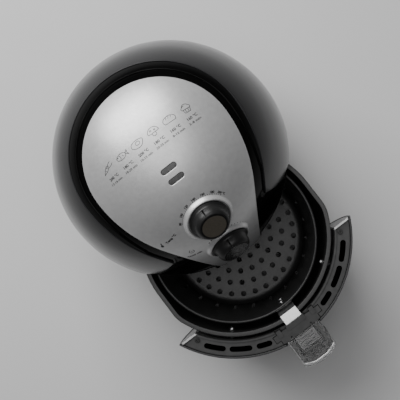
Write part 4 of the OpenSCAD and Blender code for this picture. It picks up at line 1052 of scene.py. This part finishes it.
def edge_ring(m, centre, radius):
    """Blackens a finish beyond radius mm from a point, for the dark rim of a dial's cap."""
    t = m.node_tree
    base = t.nodes["Principled BSDF"].inputs["Base Color"]
    away = t.nodes.new("ShaderNodeVectorMath")
    away.operation = "DISTANCE"
    away.inputs[1].default_value = Vector(centre) * MM
    t.links.new(add_node(t, "ShaderNodeTexCoord").outputs["Object"], away.inputs[0])
    edge = add_node(t, "ShaderNodeMapRange", Value=away.outputs["Value"], From_Min=radius * MM,
                    From_Max=(radius + 0.15) * MM)
    t.links.new(to_black(t, base.links[0].from_socket, edge.outputs["Result"], 0.003), base)


casing_finishes()
drawer_finishes()
inner_metals()
inner_plastics()
for part in frame["record"]["subparts"]:
    wear(part["node"], part["material_slot"])
wear("frame_screws", "black_screw")
for node, tilt, name in CAPS:
    seat = dome_place(tilt)
    edge_ring(FINISH[name], seat[0] + CAP_UP * seat[3], CAP_RING)
    wear(node, name)
for ob in (shell, bezel, panel, front, pan, basket):
    ob.data.materials.append(FINISH[ob["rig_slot"]])


# ---- prints on the panel
PRINT_SURF = body_surface(PANEL_RISE)
PRINT_H = 0.05  # thickness of the ink


class Printer:
    """Collects flat shapes, lays them on the panel as thin closed films, and makes one object of them."""
    def __init__(self):
        self.verts, self.faces = [], []

    def seat(self, x, y, turn=0.0):
        """A place on the panel over plan point x, y, its lines turned by turn degrees."""
        p = over([[x, y]], PRINT_SURF)[0]
        n = PRINT_SURF.normal(p[None])[0]
        e1 = np.array([1.0, 0, 0]) - n * n[0]
        e1 /= np.linalg.norm(e1)
        e2 = np.cross(n, e1)
        a = math.radians(turn)
        return p, e1 * math.cos(a) + e2 * math.sin(a), -e1 * math.sin(a) + e2 * math.cos(a)

    def film(self, uv, faces, seat):
        p = laid(PRINT_SURF, *seat, uv)
        n = PRINT_SURF.normal(p)
        h = collar_lift(p)[:, None]
        base = sum(len(v) for v in self.verts)
        m = len(uv)
        self.verts += [p + n * (h + PRINT_H), p + n * (h - PRINT_H)]
        for f in faces:
            self.faces += [[base + i for i in f], [base + m + i for i in f[::-1]]]
        edges = dict.fromkeys((f[i], f[(i + 1) % len(f)]) for f in faces for i in range(len(f)))
        for i, j in edges:
            if (j, i) not in edges:
                self.faces.append([base + j, base + i, base + m + i, base + m + j])

    def text(self, words, height, seat, width=None, bold=0.018):
        curve = bpy.data.curves.new("words", "FONT")
        curve.body = words
        curve.resolution_u = 2
        curve.offset = bold
        curve.align_x = "CENTER"
        ob = bpy.data.objects.new("words", curve)
        me = bpy.data.meshes.new_from_object(ob)
        v = np.array([list(q.co[:2]) for q in me.vertices])
        f = [list(p.vertices) for p in me.polygons]
        bpy.data.objects.remove(ob)
        bpy.data.curves.remove(curve)
        bpy.data.meshes.remove(me)
        v -= (v.min(0) + v.max(0)) / 2
        v *= height / (v[:, 1].max() - v[:, 1].min())
        if width:
            v[:, 0] *= width / (v[:, 0].max() - v[:, 0].min())
        self.film(v, f, seat)

    def line(self, pts, seat, w=0.56, closed=False):
        p = np.asarray(pts, float)
        if closed:
            t = np.roll(p, -1, 0) - np.roll(p, 1, 0)
        else:
            t = np.gradient(p, axis=0)
        t /= np.linalg.norm(t, axis=1)[:, None] + 1e-9
        n = np.stack([-t[:, 1], t[:, 0]], 1) * w / 2
        m = len(p)
        last = m if closed else m - 1
        faces = [[i, m + i, m + (i + 1) % m, (i + 1) % m] for i in range(last)]
        self.film(np.concatenate([p + n, p - n]), faces, seat)

    def disc(self, x, y, r, seat, n=14):
        self.film(circle(r, n) + [x, y], [list(range(n))], seat)

    def make(self, name):
        ob = new_object(name, np.concatenate(self.verts), self.faces)
        ob.data.polygons.foreach_set("use_smooth", [False] * len(ob.data.polygons))
        return ob


def oval(cx, cy, rx, ry, a0=0, a1=360, n=22, turn=0.0):
    """An oval, or the part of it from a0 to a1 degrees, turned by turn degrees."""
    whole = a1 - a0 >= 360
    a = np.radians(np.linspace(a0, a1, n if whole else n + 1, endpoint=not whole))
    p = np.stack([rx * np.cos(a), ry * np.sin(a)], 1)
    t = math.radians(turn)
    return p @ np.array([[math.cos(t), math.sin(t)], [-math.sin(t), math.cos(t)]]) + [cx, cy]


def wavy(outline):
    """An outline of 22 points made uneven, for a fried egg's white."""
    return outline + np.stack([0.5 * np.sin(np.linspace(0, 18.8, 22, endpoint=False)),
                               0.4 * np.cos(np.linspace(0, 12.6, 22, endpoint=False))], 1)


# six plain food pictures of this part's own drawing, mm: open strokes, then closed strokes
CARROT = (
    [oval(2.6, 1.6, 3.4, 1.0, 10, 170, 8, 30), oval(3.2, 0.6, 3.2, 0.9, -150, 10, 8, 10),
     [(-1.2, 0.9), (-0.3, 0.2)], [(-3.1, -0.7), (-2.4, -1.3)]],
    [[(-6.2, -3.2), (-2.6, 0.6), (0.2, 2.2), (1.8, 1.5), (1.6, -0.3), (-0.9, -1.8)]])
FISH = (
    [oval(-3.4, 0, 1.8, 2.1, -60, 60, 8), [(0.2, 0.2), (1.4, 0.2)], [(1.2, -0.7), (2.2, -0.7)]],
    [oval(-0.8, 0, 5.0, 2.7), [(4.0, 0.4), (6.6, 2.4), (5.7, 0), (6.6, -2.4), (4.0, -0.4)],
     oval(-4.3, 0.8, 0.35, 0.35, n=8)])
EGG = ([], [wavy(oval(0, 0, 6.2, 3.5)), oval(0.6, 0.2, 2.2, 1.6)])
MUSHROOM = (
    [[(-1.6, -0.8), (-1.9, -3.2), (-1.2, -3.9), (1.2, -3.9), (1.9, -3.2), (1.6, -0.8)]],
    [np.concatenate([oval(0, -0.6, 5.4, 4.6, 0, 180, 16), [(-3.0, -1.2), (0, -1.0), (3.0, -1.2)]]),
     oval(-1.8, 1.6, 0.9, 0.6, n=10), oval(1.9, 1.0, 0.7, 0.5, n=10)])
LOAF = (
    [[(-2.8, 1.2), (-1.6, 2.8)], [(-0.4, 1.4), (0.8, 3.0)], [(2.0, 1.2), (3.2, 2.6)]],
    [np.concatenate([oval(0, 0, 6.2, 3.6, -12, 192, 20), [(-5.2, -2.4), (5.2, -2.4)]])])
MUFFIN = (
    [[(-1.4, -0.9), (-1.1, -3.6)], [(1.4, -0.9), (1.1, -3.6)], oval(-1.2, 1.6, 1.6, 1.2, 60, 170, 6)],
    [[(-3.6, -0.8), (-2.7, -4.0), (2.7, -4.0), (3.6, -0.8)],
     np.concatenate([oval(3.1, 0.4, 1.5, 1.3, -60, 70, 7), oval(0, 1.9, 3.0, 2.1, 20, 160, 9),
                     oval(-3.1, 0.4, 1.5, 1.3, 110, 240, 7)])])
FOOD_SIZE = 1.18
FOOD_Y, HEAT_Y, TIME_Y = 13.4, 2.4, -3.0
# each food's column: x, picture, its temperature and its time
COLUMNS = ((-49.9, CARROT, "200 °C", "12-16 min"), (-30.0, FISH, "180 °C", "18-20 min"),
           (-10.0, EGG, "200 °C", "10-15 min"), (10.2, MUSHROOM, "180 °C", "20-25 min"),
           (30.3, LOAF, "160 °C", "8-12 min"), (50.4, MUFFIN, "160 °C", "5-8 min"))
SCALE_R, TICK_R, DOT_R = 31.6, 29.2, 29.4  # radii of the dial's numbers and ticks and the timer's dots


def fine(p, closed):
    return resample(np.asarray(p, float), 0.6, closed=closed, keep=20)


def print_foods(pr):
    for x, food, heat, minutes in COLUMNS:
        seat = pr.seat(x, FOOD_Y)
        for strokes, closed in zip(food, (False, True)):
            for stroke in strokes:
                pr.line(FOOD_SIZE * fine(stroke, closed), seat, closed=closed)
        pr.text(heat, 3.3, pr.seat(x, HEAT_Y), width=12.4, bold=0.03)
        pr.text(minutes, 2.4, pr.seat(x, TIME_Y), width=15.0, bold=0.02)


def print_temperatures(pr):
    """Numbers from 80 to 200 round the temperature dial, with a tick every 5 degrees of its turn."""
    seat = centre, right, hill = dome_place(DIAL_TILT)[:3]
    for i, heat in enumerate(range(80, 201, 20)):
        a = math.radians(-60 + 20 * i)
        up = right * math.sin(a) + hill * math.cos(a)
        side = right * math.cos(a) - hill * math.sin(a)
        place = centre + right * (SCALE_R * math.sin(a)) + hill * (SCALE_R * math.cos(a))
        last = heat == 200
        pr.text("200 °C" if last else str(heat), 2.9, (place, side, up), 9.2 if last else None, 0.045)
    for i in range(25):
        a = math.radians(-60 + 5 * i)
        r = 0.62 if i % 4 == 0 else 0.48
        pr.disc(TICK_R * math.sin(a), TICK_R * math.cos(a), r, seat, 8)


def print_timer_dots(pr):
    """Dots that shrink clockwise round the upper side of the timer dial."""
    seat = dome_place(TIMER_TILT)[:3]
    for i in range(15):
        a = math.radians(-36 + 8.0 * i)
        pr.disc(DOT_R * math.sin(a), DOT_R * math.cos(a), 0.95 - 0.036 * i, seat, 12)


THERMOMETER, HEAT_WORD = (-57.3, -80.8, -8), (-44.8, -81.6, 24)  # plan points and turns of the labels
CLOCK, TIME_WORD = (-37.6, -104.4, -14), (-37.5, -108.8, 2)


def print_labels(pr):
    """A thermometer and a clock with a plain word each."""
    seat = pr.seat(*THERMOMETER)
    pr.disc(0, -1.5, 1.7, seat, 16)
    pr.line(fine([(0, -1.2), (0, 3.4)], False), seat, w=1.3)
    pr.text("Temp °C", 4.1, pr.seat(*HEAT_WORD), width=16.6, bold=0.045)
    seat = pr.seat(*CLOCK)
    pr.line(oval(0, 0, 2.8, 2.8, 120, 420, 20), seat, w=0.75)
    pr.line(fine([(0, 1.5), (0, 0), (1.1, -0.6)], False), seat, w=0.5)
    pr.text("Timer min", 3.2, pr.seat(*TIME_WORD), width=17.4, bold=0.045)


printer = Printer()
print_foods(printer)
print_temperatures(printer)
print_timer_dots(printer)
print_labels(printer)
prints = printer.make("panel_prints")
prints.data.materials.append(material("print_ink", 0.008, 0.014, 0.5, 300, 0.1, 2500))
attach(prints, "body")


# ---- floor and light
def make_floor():
    half = 4.0
    me = bpy.data.meshes.new("floor")
    corners = [(-half, -half, 0), (half, -half, 0), (half, half, 0), (-half, half, 0)]
    me.from_pydata(corners, [], [(0, 1, 2, 3)])
    me.materials.append(material("floor_paper", 0.62, 0.66, 0.6, 1.2, 0.05, 300))
    floor = bpy.data.objects.new("floor", me)
    scene.collection.objects.link(floor)
    return floor


def softbox(name, place, aim, wide, high, power):
    """A rectangular lamp, sizes in metres and power in watts."""
    light = bpy.data.lights.new(name, "AREA")
    light.energy = power
    light.shape = "RECTANGLE"
    light.size = wide
    light.size_y = high
    ob = bpy.data.objects.new(name, light)
    scene.collection.objects.link(ob)
    ob.location = place
    ob.rotation_euler = (Vector(aim) - Vector(place)).to_track_quat("-Z", "Y").to_euler()


def make_world():
    world = bpy.data.worlds.new("world")
    scene.world = world
    world.use_nodes = True
    sky = world.node_tree.nodes["Background"]
    sky.inputs["Color"].default_value = (0.07, 0.07, 0.072, 1)
    sky.inputs["Strength"].default_value = 1.0


floor = make_floor()
softbox("back", (0.0, 1.35, 1.45), (0, 0.05, 0.25), 1.7, 1.1, 46)
softbox("overhead", (0.1, 0.1, 2.4), (0, 0, 0), 1.6, 1.6, 16)
make_world()
